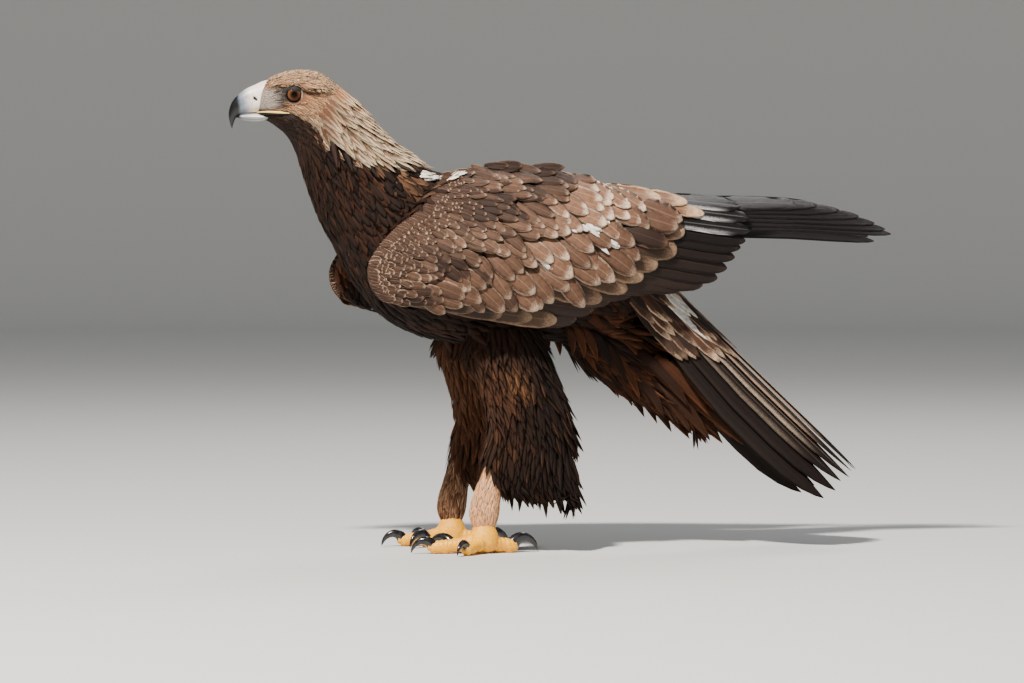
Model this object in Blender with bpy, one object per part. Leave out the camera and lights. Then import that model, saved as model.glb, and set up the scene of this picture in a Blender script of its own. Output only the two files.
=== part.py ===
"""A golden eagle at life size, standing with its wings folded and its head held up.

The bird faces -X, its left side is towards -Y and it stands on the plane z = 0. The
mid-plane is y = 0. Sizes are in millimetres in the tables and in metres in the scene.
"""

import math

import bmesh
import bpy
import numpy as np
from mathutils import Matrix, Vector

MM = 0.001
GAP = 0.3 * MM
TINY_FACE = 0.002 * MM * MM
MERGE_REACH = (0.004 * MM, 0.001 * MM, 0.0002 * MM)

# Trunk, neck and head as one row for each section: the top point (x, z), the bottom
# point (x, z) and the half-width, from the tail's root to the front of the face.
BODY = [
    (172, 313, 106, 246, 26),
    (142, 358, 65, 244, 42),
    (94, 398, 28, 245, 60),
    (40, 422, -20, 241, 74),
    (-14, 434, -69, 244, 82),
    (-63, 440, -113, 252, 86),
    (-99, 448, -154, 274, 86),
    (-120, 464, -188, 313, 78),
    (-139, 476, -210, 352, 67),
    (-160, 497, -228, 384, 57),
    (-180, 520, -243, 423, 48),
    (-197, 537, -255, 461, 42),
    (-213, 552, -267, 485, 39),
    (-231, 563, -281, 497, 37),
    (-255, 566, -291, 505, 34),
    (-276, 564, -298, 508, 28),
    (-292, 558, -302, 509, 21),
]
NECK_START = 7.0
HEAD_START = 11.0
FACE_END = 16.0

EYE_CENTRE = (-263.9, -21.5, 534.9)
EYE_RADIUS = 11.5
SOCKET_RADIUS = 13.2
SOCKET_OUT = 37.5
LID_RADIUS = 1.5
LID_RING = 9.4
LID_OUT = 29.3
# Brow: x, distance from the mid-plane, z and radius.
BROW = [
    (-290, 17, 550.5, 1.6),
    (-281, 24, 550.0, 3.2),
    (-270, 28.5, 549.4, 4.2),
    (-258, 31, 548, 4.2),
    (-247, 31.5, 545, 3.2),
    (-238, 31, 541, 1.6),
]
# Corner of the mouth: x, distance from the mid-plane, z and radius of the lips.
LIPS = [
    (-294, 14.5, 518.6, 1.5),
    (-284, 20, 518.6, 1.9),
    (-274, 25, 518.8, 1.9),
    (-266, 28, 519.4, 1.2),
]
MOUTH_SLIT = 0.7
MOUTH_END = -265.5
NOSTRIL = (-306.5, 12.2, 534)
NOSTRIL_RADIUS = 2.6

# Upper mandible with its cere: top (x, z), bottom (x, z) and half-width.
BILL_UPPER = [
    (-288, 556, -284, 519, 16.5),
    (-297, 554, -295, 518.2, 14.5),
    (-307, 550, -306, 517.8, 12),
    (-318, 545, -316, 517.2, 9.6),
    (-328, 537, -324, 515.5, 7.2),
    (-335, 527, -329.5, 511, 5),
    (-337.5, 515, -332, 505.5, 3.2),
    (-336.3, 505, -333.2, 501.5, 1.6),
    (-334, 498.4, -333.4, 498.2, 0.4),
]
CERE_END = 2.3
BILL_LOWER = [
    (-286, 517.4, -288, 507, 13),
    (-300, 517.2, -301, 507.6, 10.6),
    (-313, 516.6, -314, 508.4, 7.6),
    (-323, 515, -323, 509.6, 5),
    (-328, 513.4, -327.6, 511.4, 2.4),
]

# Folded wing in side view: x, lower edge z and upper edge z.
WING = [
    (-188, 330, 340),
    (-183, 313, 351),
    (-168, 296, 370),
    (-140, 285, 394),
    (-110, 280, 424),
    (-60, 275, 448),
    (0, 270, 451),
    (63, 270, 444),
    (92, 292, 433),
    (133, 305, 421),
]
# The wing's outer face: x, z of its fullest line, reach above and below that line, and
# its distance from the mid-plane there.
BLADE = [
    (-190, 338, 72, 52, 112),
    (-140, 345, 78, 62, 127),
    (-60, 347, 101, 72, 126),
    (0, 346, 105, 74, 121),
    (63, 347, 97, 70, 111),
    (133, 352, 74, 62, 93),
    (205, 360, 58, 54, 73),
    (272, 372, 44, 46, 56),
    (350, 382, 34, 36, 43),
    (449, 376, 28, 28, 32),
]
# Line along the forearm where the flight feathers are rooted: x and z.
FOREARM = [(-182, 306), (-120, 341), (-60, 362), (20, 384), (100, 402), (126, 408)]
ROOT_BAND = 26
SECONDARY_LAYER = 6.5
BAND_THICKNESS = 7.2
PRIMARY_LAYER = 23

# Rows of wing feathers as the tips' line (x, z), the slope of the first and the last
# feather in degrees below level, their lengths, their half-width and their number.
GREATER_COVERTS = ([(-120, 290), (-40, 284), (45, 314), (110, 333), (180, 352)], (60, 14), (66, 122), 16, 7)
MEDIAN_COVERTS = ([(-135, 320), (-60, 318), (0, 334), (60, 352), (118, 372)], (52, 14), (44, 84), 15, 6)
LESSER_COVERTS = ([(-140, 352), (-90, 352), (-20, 370), (50, 388)], (30, 14), (36, 60), 14, 5)
SCAPULARS = ([(20, 432), (90, 420), (150, 404), (216, 398)], (4, 8), (80, 124), 17, 3)

# Tips of the secondaries from the outermost to the innermost: x and z.
SECONDARY_TIPS = [
    (64, 271), (94, 292), (126, 301), (165, 308), (206, 314), (232, 325),
    (252, 343), (264, 360), (274, 376), (268, 396),
]
SECONDARY_WIDTH = 19
# Tips of the primaries from the longest to the shortest: x and z.
PRIMARY_TIPS = [(456, 369), (437, 383), (411, 394), (378, 403), (341, 409)]
PRIMARY_ROOT = (74, 378)
PRIMARY_STEP = 5.5
PRIMARY_WIDTH = 10
RIGHT_WING_SHIFT = (-10, 0, -9)

# Near leg: height, centre x, half-length along x, centre y and half-width.
THIGH = [
    (262, -20, 46, -50, 24),
    (240, -20, 54, -54, 30),
    (212, -10, 53, -57, 31),
    (178, 2, 53, -60, 29),
    (148, 8, 54, -62, 26),
    (124, 8, 53, -63, 23),
    (98, 10, 54, -64, 19),
    (74, 22, 46, -64, 15),
    (52, 36, 24, -64, 10),
    (42, 40, 8, -64, 4),
]
TARSUS = [
    (160, -24, 14, -62, 13),
    (124, -31, 15, -63, 14),
    (96, -36, 14, -64, 13),
    (74, -41, 17, -65, 14),
    (54, -45, 19, -65, 15),
    (40, -46, 18, -65, 14),
    (28, -46, 12, -65, 10),
]
FOOT_CENTRE = (-46, -65)
FOOT_RADIUS = 17
PALM_HEIGHT = 15.5
# Toes of the left foot: name, heading in degrees from straight ahead towards the
# midline, length, radius at the root and at the tip, claw length and claw radius.
TOES = [
    ("inner", 38, 50, 9.5, 8.5, 42, 5.6),
    ("middle", 4, 66, 9.5, 7.6, 36, 4.8),
    ("outer", -52, 50, 9.0, 7.2, 32, 4.4),
    ("hind", 168, 42, 10.0, 8.8, 46, 6.2),
]
TOE_HEIGHT = 7.0
CLAW_CLEARANCE = 1.2
RIGHT_LEG_SHIFT = (-15, 0, 0)

# Tail: distance along it, half-width, depth of the arch and thickness of the root.
TAIL_ROOT = (166, 333)
TAIL_SLOPE = math.radians(44)
TAIL = [
    (0, 26, 40, 16),
    (60, 36, 52, 9),
    (150, 46, 66, 5),
    (240, 53, 68, 3),
    (310, 56, 66, 2.4),
    (342, 52, 60, 2),
]
TAIL_BLOCK = 78
# Tail feathers of one side: turn from the ridge in degrees and where the tip ends.
TAIL_FEATHERS = [(14.3, 342), (29, 340), (44, 338), (59, 334), (74, 329), (88, 322)]
TAIL_FEATHER_START = 42
TAIL_FEATHER_WIDTH = 12
TAIL_COVERTS = [(24, 98), (60, 90)]
# Coverts under the tail: x, centre z, half-height, half-width.
VENT = [
    (90, 259, 50, 32),
    (130, 235, 51, 33),
    (165, 204, 41, 31),
    (200, 169, 24, 25),
    (232, 136, 6, 9),
]


# Rows of locks as where they start and end along a body's sections, their turns round
# it in degrees and their half-width. The nape is at 90 degrees and the near side at 180.
HACKLES = [
    (10.8, 9.3, (6, 38, 72, 108, 142, 174), 10),
    (9.9, 8.4, (22, 55, 90, 125, 158), 10),
    (9.0, 7.7, (42, 74, 106, 138), 10),
]
# On the thigh the back is at 0 degrees, the outer side at 270 and the front at 180.
TROUSERS = [
    (3.9, 6.3, (246, 280, 314, 348), 11),
    (5.5, 8.3, (262, 296, 330, 362), 9),
]
# Under the tail the lower side is at 270 degrees.
VENT_LOCKS = [
    (0.9, 2.4, (205, 248, 292, 335), 11),
    (2.1, 3.4, (222, 270, 318), 9),
    (2.9, 3.9, (250, 290), 7),
]


def material(name, colour, roughness=0.6):
    made = bpy.data.materials.new(name)
    made.use_nodes = True
    shader = made.node_tree.nodes["Principled BSDF"]
    shader.inputs["Base Color"].default_value = (*colour, 1)
    shader.inputs["Roughness"].default_value = roughness
    made.diffuse_color = (*colour, 1)
    return made


def read_table(rows, place):
    """Reads a table of rows along a smooth curve, at a place that need not be whole."""
    rows = np.asarray(rows, float)
    last = len(rows) - 1
    place = min(max(place, 0.0), float(last))
    index = min(int(place), last - 1)
    part = place - index
    before, start = rows[max(index - 1, 0)], rows[index]
    end, after = rows[index + 1], rows[min(index + 2, last)]
    slope, other_slope = (end - before) / 2, (after - start) / 2
    step = end - start
    bend = 3 * step - 2 * slope - other_slope
    turn = slope + other_slope - 2 * step
    return start + part * (slope + part * (bend + part * turn))


def read_at(rows, x):
    """Reads a table whose first column is x, along a smooth curve."""
    columns = np.asarray(rows, float)
    place = float(np.interp(x, columns[:, 0], np.arange(len(columns))))
    return read_table(columns, place)


def solid(name, points, faces):
    """A closed mesh object from points in millimetres, with its faces turned out."""
    mesh = bpy.data.meshes.new(name)
    mesh.from_pydata([Vector(point) * MM for point in points], [], faces)
    work = bmesh.new()
    work.from_mesh(mesh)
    bmesh.ops.triangulate(work, faces=work.faces)
    bmesh.ops.recalc_face_normals(work, faces=work.faces)
    if work.calc_volume(signed=True) < 0:
        bmesh.ops.reverse_faces(work, faces=work.faces)
    work.to_mesh(mesh)
    work.free()
    made = bpy.data.objects.new(name, mesh)
    bpy.context.scene.collection.objects.link(made)
    return made


def loft(name, rings, turned_from=None):
    """A closed body through rings of points. From the side turned_from on, each square
    is split along its other diagonal, so that both faces of a thin vane split alike."""
    count = len(rings[0])
    points = [point for ring in rings for point in ring]
    faces = [list(range(count))[::-1]]
    for ring in range(len(rings) - 1):
        for side in range(count):
            after = (side + 1) % count
            low, high = ring * count, (ring + 1) * count
            a, b, c, d = low + side, low + after, high + after, high + side
            if turned_from is not None and side >= turned_from:
                faces += [[a, b, d], [b, c, d]]
            else:
                faces += [[a, b, c], [a, c, d]]
    faces.append([(len(rings) - 1) * count + side for side in range(count)])
    return solid(name, points, faces)


def section(top, bottom, half_width, sides, fullness=0.92):
    """One ring between a top and a bottom point in the mid-plane."""
    centre = (np.array(top) + np.array(bottom)) / 2
    half = (np.array(top) - np.array(bottom)) / 2
    ring = []
    for side in range(sides):
        angle = 2 * math.pi * (side + 0.5) / sides
        up = math.copysign(abs(math.sin(angle)) ** fullness, math.sin(angle))
        out = math.copysign(abs(math.cos(angle)) ** fullness, math.cos(angle))
        ring.append((centre[0] + half[0] * up, half_width * out, centre[1] + half[1] * up))
    return ring


def body_surface(place, turn):
    """A point on the body's skin, at a place between sections and a turn round it."""
    top_x, top_z, low_x, low_z, width = read_table(BODY, place)
    up, out = math.sin(turn), math.cos(turn)
    up = math.copysign(abs(up) ** 0.92, up)
    out = math.copysign(abs(out) ** 0.92, out)
    x = (top_x + low_x) / 2 + (top_x - low_x) / 2 * up
    z = (top_z + low_z) / 2 + (top_z - low_z) / 2 * up
    return np.array((x, width * out, z))


def thigh_surface(place, turn):
    z, x, length, y, width = read_table(THIGH, place)
    return np.array((x + length * math.cos(turn), y + width * math.sin(turn), z))


def vent_surface(place, turn):
    x, z, height, width = read_table(VENT, place)
    up = height * math.sin(turn)
    across = width * math.cos(turn)
    return np.array((x + up * math.sin(TAIL_SLOPE), across, z + up * math.cos(TAIL_SLOPE)))


def draped(surface, start, end, turn):
    """Places for a feather that lies along a body, with the length that it gets."""
    middle = surface((start + end) / 2, turn)
    length = np.linalg.norm(surface(start, turn) - middle)
    length += np.linalg.norm(surface(end, turn) - middle)
    step = 0.04

    def place(along, across, out):
        at = start + (end - start) * along / length
        side = surface(at, turn + step) - surface(at, turn - step)
        round_it = turn + across * 2 * step / np.linalg.norm(side)
        ahead = surface(at - step, round_it) - surface(at + step, round_it)
        side = surface(at, round_it + step) - surface(at, round_it - step)
        normal = np.cross(ahead, side)
        normal /= np.linalg.norm(normal)
        point = surface(at, round_it)
        outwards = math.copysign(1, normal @ (point - surface(at, round_it + math.pi)))
        return point + normal * out * outwards

    return place, length


def locks(surface, rows, rises):
    """Rows of flat, tapered locks that lie along a body."""
    vanes = []
    for start, end, turns, half_width in rows:
        for index, turn in enumerate(turns):
            shift = 0.12 * math.sin(2.4 * index + 5 * start)
            place, length = draped(surface, start + shift, end + shift, math.radians(turn))
            vanes.append(feather(place, length, half_width, LOCK_SHAPE, rises, 0.0, 1.0))
    return vanes


def body_ring(place, sides=16):
    top_x, top_z, low_x, low_z, width = read_table(BODY, place)
    return section((top_x, top_z), (low_x, low_z), width, sides)


def remove(item):
    mesh = item.data
    bpy.data.objects.remove(item)
    bpy.data.meshes.remove(mesh)


def tidied(mesh):
    """The mesh as triangles, with points that all but meet merged where it stays closed."""
    for reach in MERGE_REACH:
        work = bmesh.new()
        work.from_mesh(mesh)
        bmesh.ops.triangulate(work, faces=work.faces)
        bmesh.ops.remove_doubles(work, verts=work.verts, dist=reach)
        bmesh.ops.dissolve_degenerate(work, edges=work.edges, dist=reach / 2)
        bmesh.ops.triangulate(work, faces=work.faces)
        if all(edge.is_manifold for edge in work.edges):
            return work
        work.free()
    work = bmesh.new()
    work.from_mesh(mesh)
    bmesh.ops.triangulate(work, faces=work.faces)
    return work


def keep_largest(mesh):
    """Leaves only the closed surface with the largest volume."""
    work = tidied(mesh)
    left = set(work.faces)
    shells = []
    while left:
        seed = left.pop()
        shell = [seed]
        for face in shell:
            for edge in face.edges:
                for other in edge.link_faces:
                    if other in left:
                        left.remove(other)
                        shell.append(other)
        volume = 0.0
        for face in shell:
            corners = [corner.vert.co for corner in face.loops]
            volume += corners[0].dot(corners[1].cross(corners[2])) / 6
        shells.append((volume, shell))
    shells.sort(key=lambda found: found[0])
    unwanted = [face for _, shell in shells[:-1] for face in shell]
    bmesh.ops.delete(work, geom=unwanted, context="FACES")
    loose = [vert for vert in work.verts if not vert.link_faces]
    bmesh.ops.delete(work, geom=loose, context="VERTS")
    work.to_mesh(mesh)
    work.free()


def combine(target, others, operation):
    """Joins the other solids to the target or cuts them from it, then removes them."""
    group = bpy.data.collections.new("operands")
    bpy.context.scene.collection.children.link(group)
    for other in others:
        bpy.context.scene.collection.objects.unlink(other)
        group.objects.link(other)
    modifier = target.modifiers.new("combine", "BOOLEAN")
    modifier.operation = operation
    modifier.operand_type = "COLLECTION"
    modifier.collection = group
    modifier.solver = "MANIFOLD"
    graph = bpy.context.evaluated_depsgraph_get()
    result = bpy.data.meshes.new_from_object(target.evaluated_get(graph))
    target.modifiers.remove(modifier)
    old = target.data
    target.data = result
    bpy.data.meshes.remove(old)
    for other in list(group.objects):
        remove(other)
    bpy.data.collections.remove(group)
    keep_largest(target.data)
    return target


def outward_move(vert, gap):
    """The shortest move of a corner that takes all the faces around it out by a gap."""
    normals = [face.normal for face in vert.link_faces if face.calc_area() > TINY_FACE]
    if not normals:
        return vert.normal * gap
    normals = np.array([tuple(normal) for normal in normals])
    move = np.linalg.lstsq(normals, np.full(len(normals), gap), rcond=0.08)[0]
    least = (normals @ move).min()
    move *= min(max(gap / max(least, gap * 0.3), 1), 2)
    longest = GAP * 4
    size = np.linalg.norm(move)
    return Vector(move * min(longest / size, 1) if size else move)


def grown(source, gap=GAP):
    """A copy of a solid whose faces all lie a gap further out."""
    mesh = source.data.copy()
    copy = bpy.data.objects.new(source.name + "_grown", mesh)
    bpy.context.scene.collection.objects.link(copy)
    work = bmesh.new()
    work.from_mesh(mesh)
    work.normal_update()
    moves = [outward_move(vert, gap) for vert in work.verts]
    for vert, move in zip(work.verts, moves):
        vert.co += move
    work.to_mesh(mesh)
    work.free()
    return copy


def cut_clear(target, *neighbours):
    """Cuts a solid back to the gap that it keeps from its neighbours."""
    return combine(target, [grown(other) for other in neighbours], "DIFFERENCE")


def boxes_meet(one, other):
    low, high = box_of(one)
    other_low, other_high = box_of(other)
    return bool((low < other_high + GAP).all() and (other_low < high + GAP).all())


def box_of(item):
    corners = np.array([tuple(vert.co) for vert in item.data.vertices])
    return corners.min(axis=0), corners.max(axis=0)


def settle(target, placed):
    """Cuts a solid clear of the placed ones that it could touch, and adds it to them."""
    near = [other for other in placed if boxes_meet(target, other)]
    if near:
        cut_clear(target, *near)
    placed.append(target)
    return target


def finish(target, name, look):
    target.name = name
    target.data.name = name
    target.data.materials.clear()
    target.data.materials.append(look)
    target.data.shade_smooth()
    target.data.set_sharp_from_angle(angle=math.radians(35))
    return target


def flipped(item, shift=(0, 0, 0)):
    """Turns a solid into the one on the bird's other side, moved by a shift."""
    place = Matrix.Translation(Vector(shift) * MM) @ Matrix.Scale(-1, 4, (0, 1, 0))
    item.data.transform(place)
    item.data.flip_normals()
    return item


def mirrored(source, name, shift=(0, 0, 0)):
    copy = bpy.data.objects.new(name, source.data.copy())
    bpy.context.scene.collection.objects.link(copy)
    return flipped(copy, shift)


def body_piece(name, start, end, steps, front_gap=False):
    shorten = 0.0
    if front_gap:
        shorten = 0.012
    places = np.linspace(start, end - shorten, steps)
    return loft(name, [body_ring(place) for place in places])


def ball(name, centre, radius, rings=10, sides=16, squash=1.0):
    """A sphere, squashed along y where asked."""
    points = []
    for ring in range(1, rings):
        polar = math.pi * ring / rings
        for side in range(sides):
            turn = 2 * math.pi * side / sides
            out = radius * math.sin(polar)
            points.append(
                (
                    centre[0] + out * math.cos(turn),
                    centre[1] + squash * radius * math.cos(polar),
                    centre[2] + out * math.sin(turn),
                )
            )
    first = len(points)
    points.append((centre[0], centre[1] + squash * radius, centre[2]))
    points.append((centre[0], centre[1] - squash * radius, centre[2]))
    faces = []
    for ring in range(rings - 2):
        for side in range(sides):
            after = (side + 1) % sides
            low, high = ring * sides, (ring + 1) * sides
            faces.append([low + side, low + after, high + after, high + side])
    for side in range(sides):
        after = (side + 1) % sides
        last = (rings - 2) * sides
        faces.append([first, side, after])
        faces.append([first + 1, last + after, last + side])
    return solid(name, points, faces)


def bill_part(name, rows, start, end, steps, sides=12):
    rings = []
    for place in np.linspace(start, end, steps):
        top_x, top_z, low_x, low_z, width = read_table(rows, place)
        rings.append(section((top_x, top_z), (low_x, low_z), width, sides, 0.85))
    return loft(name, rings)


# Outlines of a feather: how far along it, and its part of the full half-width.
def ring_tube(name, centre, radius, thick, steps=10, sides=4):
    """A ring that stands round the y axis, for the eyelids."""
    points = []
    for step in range(steps):
        turn = 2 * math.pi * step / steps
        for side in range(sides):
            angle = 2 * math.pi * side / sides
            out = radius + thick * math.cos(angle)
            x = centre[0] + out * math.cos(turn)
            z = centre[2] + out * math.sin(turn)
            points.append((x, centre[1] + thick * math.sin(angle), z))
    faces = []
    for step in range(steps):
        low, high = step * sides, (step + 1) % steps * sides
        for side in range(sides):
            after = (side + 1) % sides
            faces.append([low + side, low + after, high + after, high + side])
    return solid(name, points, faces)


def block(name, low, high):
    """A box between two opposite corners."""
    points = [(x, y, z) for x in (low[0], high[0]) for y in (low[1], high[1]) for z in (low[2], high[2])]
    faces = [[0, 1, 3, 2], [4, 6, 7, 5], [0, 4, 5, 1], [2, 3, 7, 6], [0, 2, 6, 4], [1, 5, 7, 3]]
    return solid(name, points, faces)


def both_sides(item):
    return [item, mirrored(item, item.name)]


def shape_head(head):
    """Gives the head its sockets, lids, brows, lips and the line of its mouth."""
    x, _, z = EYE_CENTRE
    cuts = both_sides(ball("socket", (x, -SOCKET_OUT, z), SOCKET_RADIUS, 6, 10))
    slit_low = (-310, -40, LIPS[0][2] - MOUTH_SLIT / 2)
    slit_high = (MOUTH_END, 40, LIPS[0][2] + MOUTH_SLIT / 2)
    combine(head, cuts + [block("mouth", slit_low, slit_high)], "DIFFERENCE")
    added = both_sides(ring_tube("lid", (x, -LID_OUT, z), LID_RING, LID_RADIUS))
    route = [(px, -py, pz) for px, py, pz, _ in BROW]
    added += both_sides(tube("brow", route, [row[3] for row in BROW], 6))
    route = [(px, -py, pz - 2.0) for px, py, pz, _ in LIPS]
    added += both_sides(tube("lip", route, [row[3] for row in LIPS], 5))
    return combine(head, added, "UNION")


COVERT_SHAPE = [(0.0, 0.45), (0.2, 0.8), (0.7, 1.0), (1.0, 0.35)]
FLIGHT_SHAPE = [(0.0, 0.25), (0.42, 0.5), (0.82, 1.0), (1.0, 0.35)]
TAIL_SHAPE = [(0.0, 0.4), (0.35, 0.75), (0.85, 1.0), (1.0, 0.5)]
LOCK_SHAPE = [(0.0, 0.6), (0.25, 1.0), (0.7, 0.75), (1.0, 0.12)]


def feather(place, length, half_width, shape, rises, tilt=0.0, thickness=0.8, columns=2):
    """A flat vane. place(along, across, out) gives a point in space, and rises are the
    heights over the surface at the root, a fifth of the way, three fifths and the tip."""
    rings = []
    sides = np.linspace(-1, 1, columns)
    for along, part in shape:
        rise = float(np.interp(along, (0, 0.2, 0.6, 1), rises))
        thick = thickness * (1.25 - 0.6 * along)
        wide = part * half_width
        lean = tilt * part
        over = [place(along * length, wide * side, rise + lean * side) for side in sides]
        under = [
            place(along * length, wide * side, rise + lean * side - thick)
            for side in sides[::-1]
        ]
        rings.append(over + under)
    return loft("vane", rings, columns)


def along_line(points, count):
    """Evenly spaced points along a smooth line through the given ones."""
    places = np.linspace(0, len(points) - 1, count)
    return [read_table(points, place) for place in places]


def blade_depth(x, z):
    """How far the wing's outer face lies from the mid-plane at a place in side view."""
    _, middle, above, below, depth = read_at(BLADE, x)
    if z < middle:
        return depth * (1 - 0.14 * min((middle - z) / below, 1.3) ** 2)
    return depth * math.sqrt(1 - 0.82 * min((z - middle) / above, 1) ** 2)


def wing_place(tip, slope, length, layer=0.0):
    """Places on the wing for a feather that ends at tip and slopes down backwards."""
    angle = math.radians(slope)
    root = (tip[0] - length * math.cos(angle), tip[1] + length * math.sin(angle))

    def place(along, across, out):
        x = root[0] + along * math.cos(angle) - across * math.sin(angle)
        z = root[1] - along * math.sin(angle) - across * math.cos(angle)
        return (x, -(blade_depth(x, z) - layer + out), z)

    return place


def forearm(x):
    return read_at(FOREARM, x)[1]


def sheet(name, columns, levels, outer, inner):
    """A plate between two height fields. levels(x) gives its heights, low to high, and
    inner(x, z, row) its inner face."""
    points = []
    across = len(levels(columns[0]))
    for x in columns:
        points += [(x, -outer(x, z), z) for z in levels(x)]
    front = len(points)
    for x in columns:
        points += [(x, -inner(x, z, row), z) for row, z in enumerate(levels(x))]
    faces = []
    for column in range(len(columns) - 1):
        for row in range(across - 1):
            corner = column * across + row
            a, b, c, d = corner, corner + 1, corner + across + 1, corner + across
            faces += [[a, b, c], [a, c, d]]
            faces += [[front + a, front + c, front + b], [front + a, front + d, front + c]]
    rim = [column * across for column in range(len(columns))]
    rim += [(len(columns) - 1) * across + row for row in range(1, across)]
    rim += [column * across + across - 1 for column in range(len(columns) - 2, -1, -1)]
    rim += [row for row in range(across - 2, 0, -1)]
    for index, start in enumerate(rim):
        after = rim[(index + 1) % len(rim)]
        faces.append([start, after, front + after, front + start])
    return solid(name, points, faces)


def wing_arm():
    """The arm's body. Its lower rim is thin, because the flight feathers' roots lie
    under it, and the rest is as deep as the trunk lets it be."""
    columns = [-187, -179, -166, -146, -120, -88, -50, -10, 30, 68, 100, 122]

    def levels(x):
        _, low, high = read_at(WING, x)
        rim = max(forearm(x) - ROOT_BAND, low)
        edge = max(forearm(x), rim + 1)
        parts = (0.42, 0.82)
        return [rim, edge] + [edge + (high - edge) * part for part in parts] + [high]

    def outer(x, z):
        return blade_depth(x, z)

    def inner(x, z, row):
        if row < 2 and x > columns[2]:
            return outer(x, z) - (SECONDARY_LAYER - 0.3)
        return outer(x, z) * 0.58

    return sheet("arm", columns, levels, outer, inner)


def covert_row(row, rises):
    tips, slopes, lengths, half_width, count = row
    vanes = []
    for index, tip in enumerate(along_line(tips, count)):
        part = index / (count - 1)
        slope = slopes[0] + (slopes[1] - slopes[0]) * part
        length = lengths[0] + (lengths[1] - lengths[0]) * part
        place = wing_place(tip, slope, length)
        vanes.append(feather(place, length, half_width, COVERT_SHAPE, rises, -0.6, 0.65))
    return vanes


def coverts():
    """The tiers of feathers over the arm, each tier's tips over the next one's roots."""
    vanes = covert_row(GREATER_COVERTS, (-5, 0.8, 1.2, 1.4))
    vanes += covert_row(MEDIAN_COVERTS, (-5, 2.8, 3.4, 3.8))
    vanes += covert_row(LESSER_COVERTS, (-5, 2.4, 4.4, 5.2))
    vanes += covert_row(SCAPULARS, (-6, 3.4, 4.6, 5.0))
    return vanes


def root_band(name, columns, layer, drop):
    """The strip of skin that carries the roots of a row of flight feathers."""

    def levels(x):
        high = forearm(x) - 1
        low = max(forearm(x) - ROOT_BAND - drop, read_at(WING, x)[1] + 4)
        return [low, (low + high) / 2, high]

    def outer(x, z):
        return blade_depth(x, z) - layer

    def inner(x, z, row):
        return outer(x, z) - BAND_THICKNESS

    return sheet(name, columns, levels, outer, inner)


def secondaries():
    vanes = []
    last = len(SECONDARY_TIPS) - 1
    for index, tip in enumerate(SECONDARY_TIPS):
        x = -128 + (112 + 128) * index / last
        root = (x, forearm(x) - ROOT_BAND * 0.62)
        run, fall = tip[0] - root[0], root[1] - tip[1]
        slope = math.degrees(math.atan2(fall, run))
        length = math.hypot(run, fall)
        place = wing_place(tip, slope, length, SECONDARY_LAYER)
        rises = (-3.5, -1.8, -1.6, -0.8)
        vanes.append(
            feather(place, length, SECONDARY_WIDTH, FLIGHT_SHAPE, rises, 4.2, 0.7)
        )
    return vanes


def primaries():
    vanes = []
    for index, tip in enumerate(PRIMARY_TIPS):
        root = (PRIMARY_ROOT[0], PRIMARY_ROOT[1] + PRIMARY_STEP * index)
        run, fall = tip[0] - root[0], root[1] - tip[1]
        slope = math.degrees(math.atan2(fall, run))
        length = math.hypot(run, fall)
        place = wing_place(tip, slope, length, PRIMARY_LAYER)
        rises = (-3.5, -2.5, 1.0, 8.0)
        vanes.append(
            feather(place, length, PRIMARY_WIDTH, FLIGHT_SHAPE, rises, 3.2, 0.8)
        )
    return vanes


def upright_ring(row, sides=14):
    z, x, length, y, width = row
    ring = []
    for side in range(sides):
        angle = 2 * math.pi * side / sides
        ring.append((x + length * math.cos(angle), y + width * math.sin(angle), z))
    return ring


def limb(name, rows, steps, sides=14):
    places = np.linspace(0, len(rows) - 1, steps)
    return loft(name, [upright_ring(read_table(rows, place), sides) for place in places])


def tube(name, route, radii, sides=10):
    """A round body along a route in millimetres, kept upright."""
    rings = []
    route = [Vector(point) for point in route]
    for index, point in enumerate(route):
        ahead = route[min(index + 1, len(route) - 1)] - route[max(index - 1, 0)]
        side = ahead.cross(Vector((0, 0, 1))).normalized()
        up = side.cross(ahead).normalized()
        ring = []
        for step in range(sides):
            angle = 2 * math.pi * (step + 0.5) / sides
            offset = side * math.cos(angle) + up * math.sin(angle)
            ring.append(point + offset * radii[index])
        rings.append(ring)
    return loft(name, rings)


def toe_axis(heading):
    angle = math.radians(heading)
    return Vector((-math.cos(angle), math.sin(angle), 0))


def toe(heading, length, root, tip):
    """A toe with two pads, lying along the ground."""
    centre = Vector((*FOOT_CENTRE, TOE_HEIGHT))
    ahead = toe_axis(heading)
    route = []
    radii = []
    for part, rise, swell in [
        (0.0, 9, 1.0),
        (0.3, 2, 1.05),
        (0.55, 1.2, 0.84),
        (0.8, 0.2, 1.02),
        (1.0, 1, 0.6),
    ]:
        route.append(centre + ahead * length * part + Vector((0, 0, rise)))
        radii.append((root + (tip - root) * part) * swell)
    return tube("toe", route, radii, 7)


def claw(heading, toe_length, length, radius):
    """A hooked claw: out of the toe's end, over and down to just above the ground."""
    base = Vector((*FOOT_CENTRE, TOE_HEIGHT + 3.5)) + toe_axis(heading) * (toe_length - 5)
    ahead = toe_axis(heading)
    route = []
    radii = []
    steps = 6
    for step in range(steps):
        part = step / (steps - 1)
        angle = math.radians(58 - 128 * part)
        reach = length * 0.52
        out = reach * (math.sin(math.radians(58)) - math.sin(angle)) * 0.62
        rise = reach * (math.cos(angle) - math.cos(math.radians(58))) * 0.62
        route.append(base + ahead * out + Vector((0, 0, rise)))
        radii.append(radius * (1 - part) ** 0.75 + 0.45)
    lowest = route[-1].z - radii[-1]
    drop = lowest - CLAW_CLEARANCE
    for step in range(steps):
        route[step].z -= drop * (step / (steps - 1)) ** 1.5
    return tube("claw", route, radii, 7)


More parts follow.
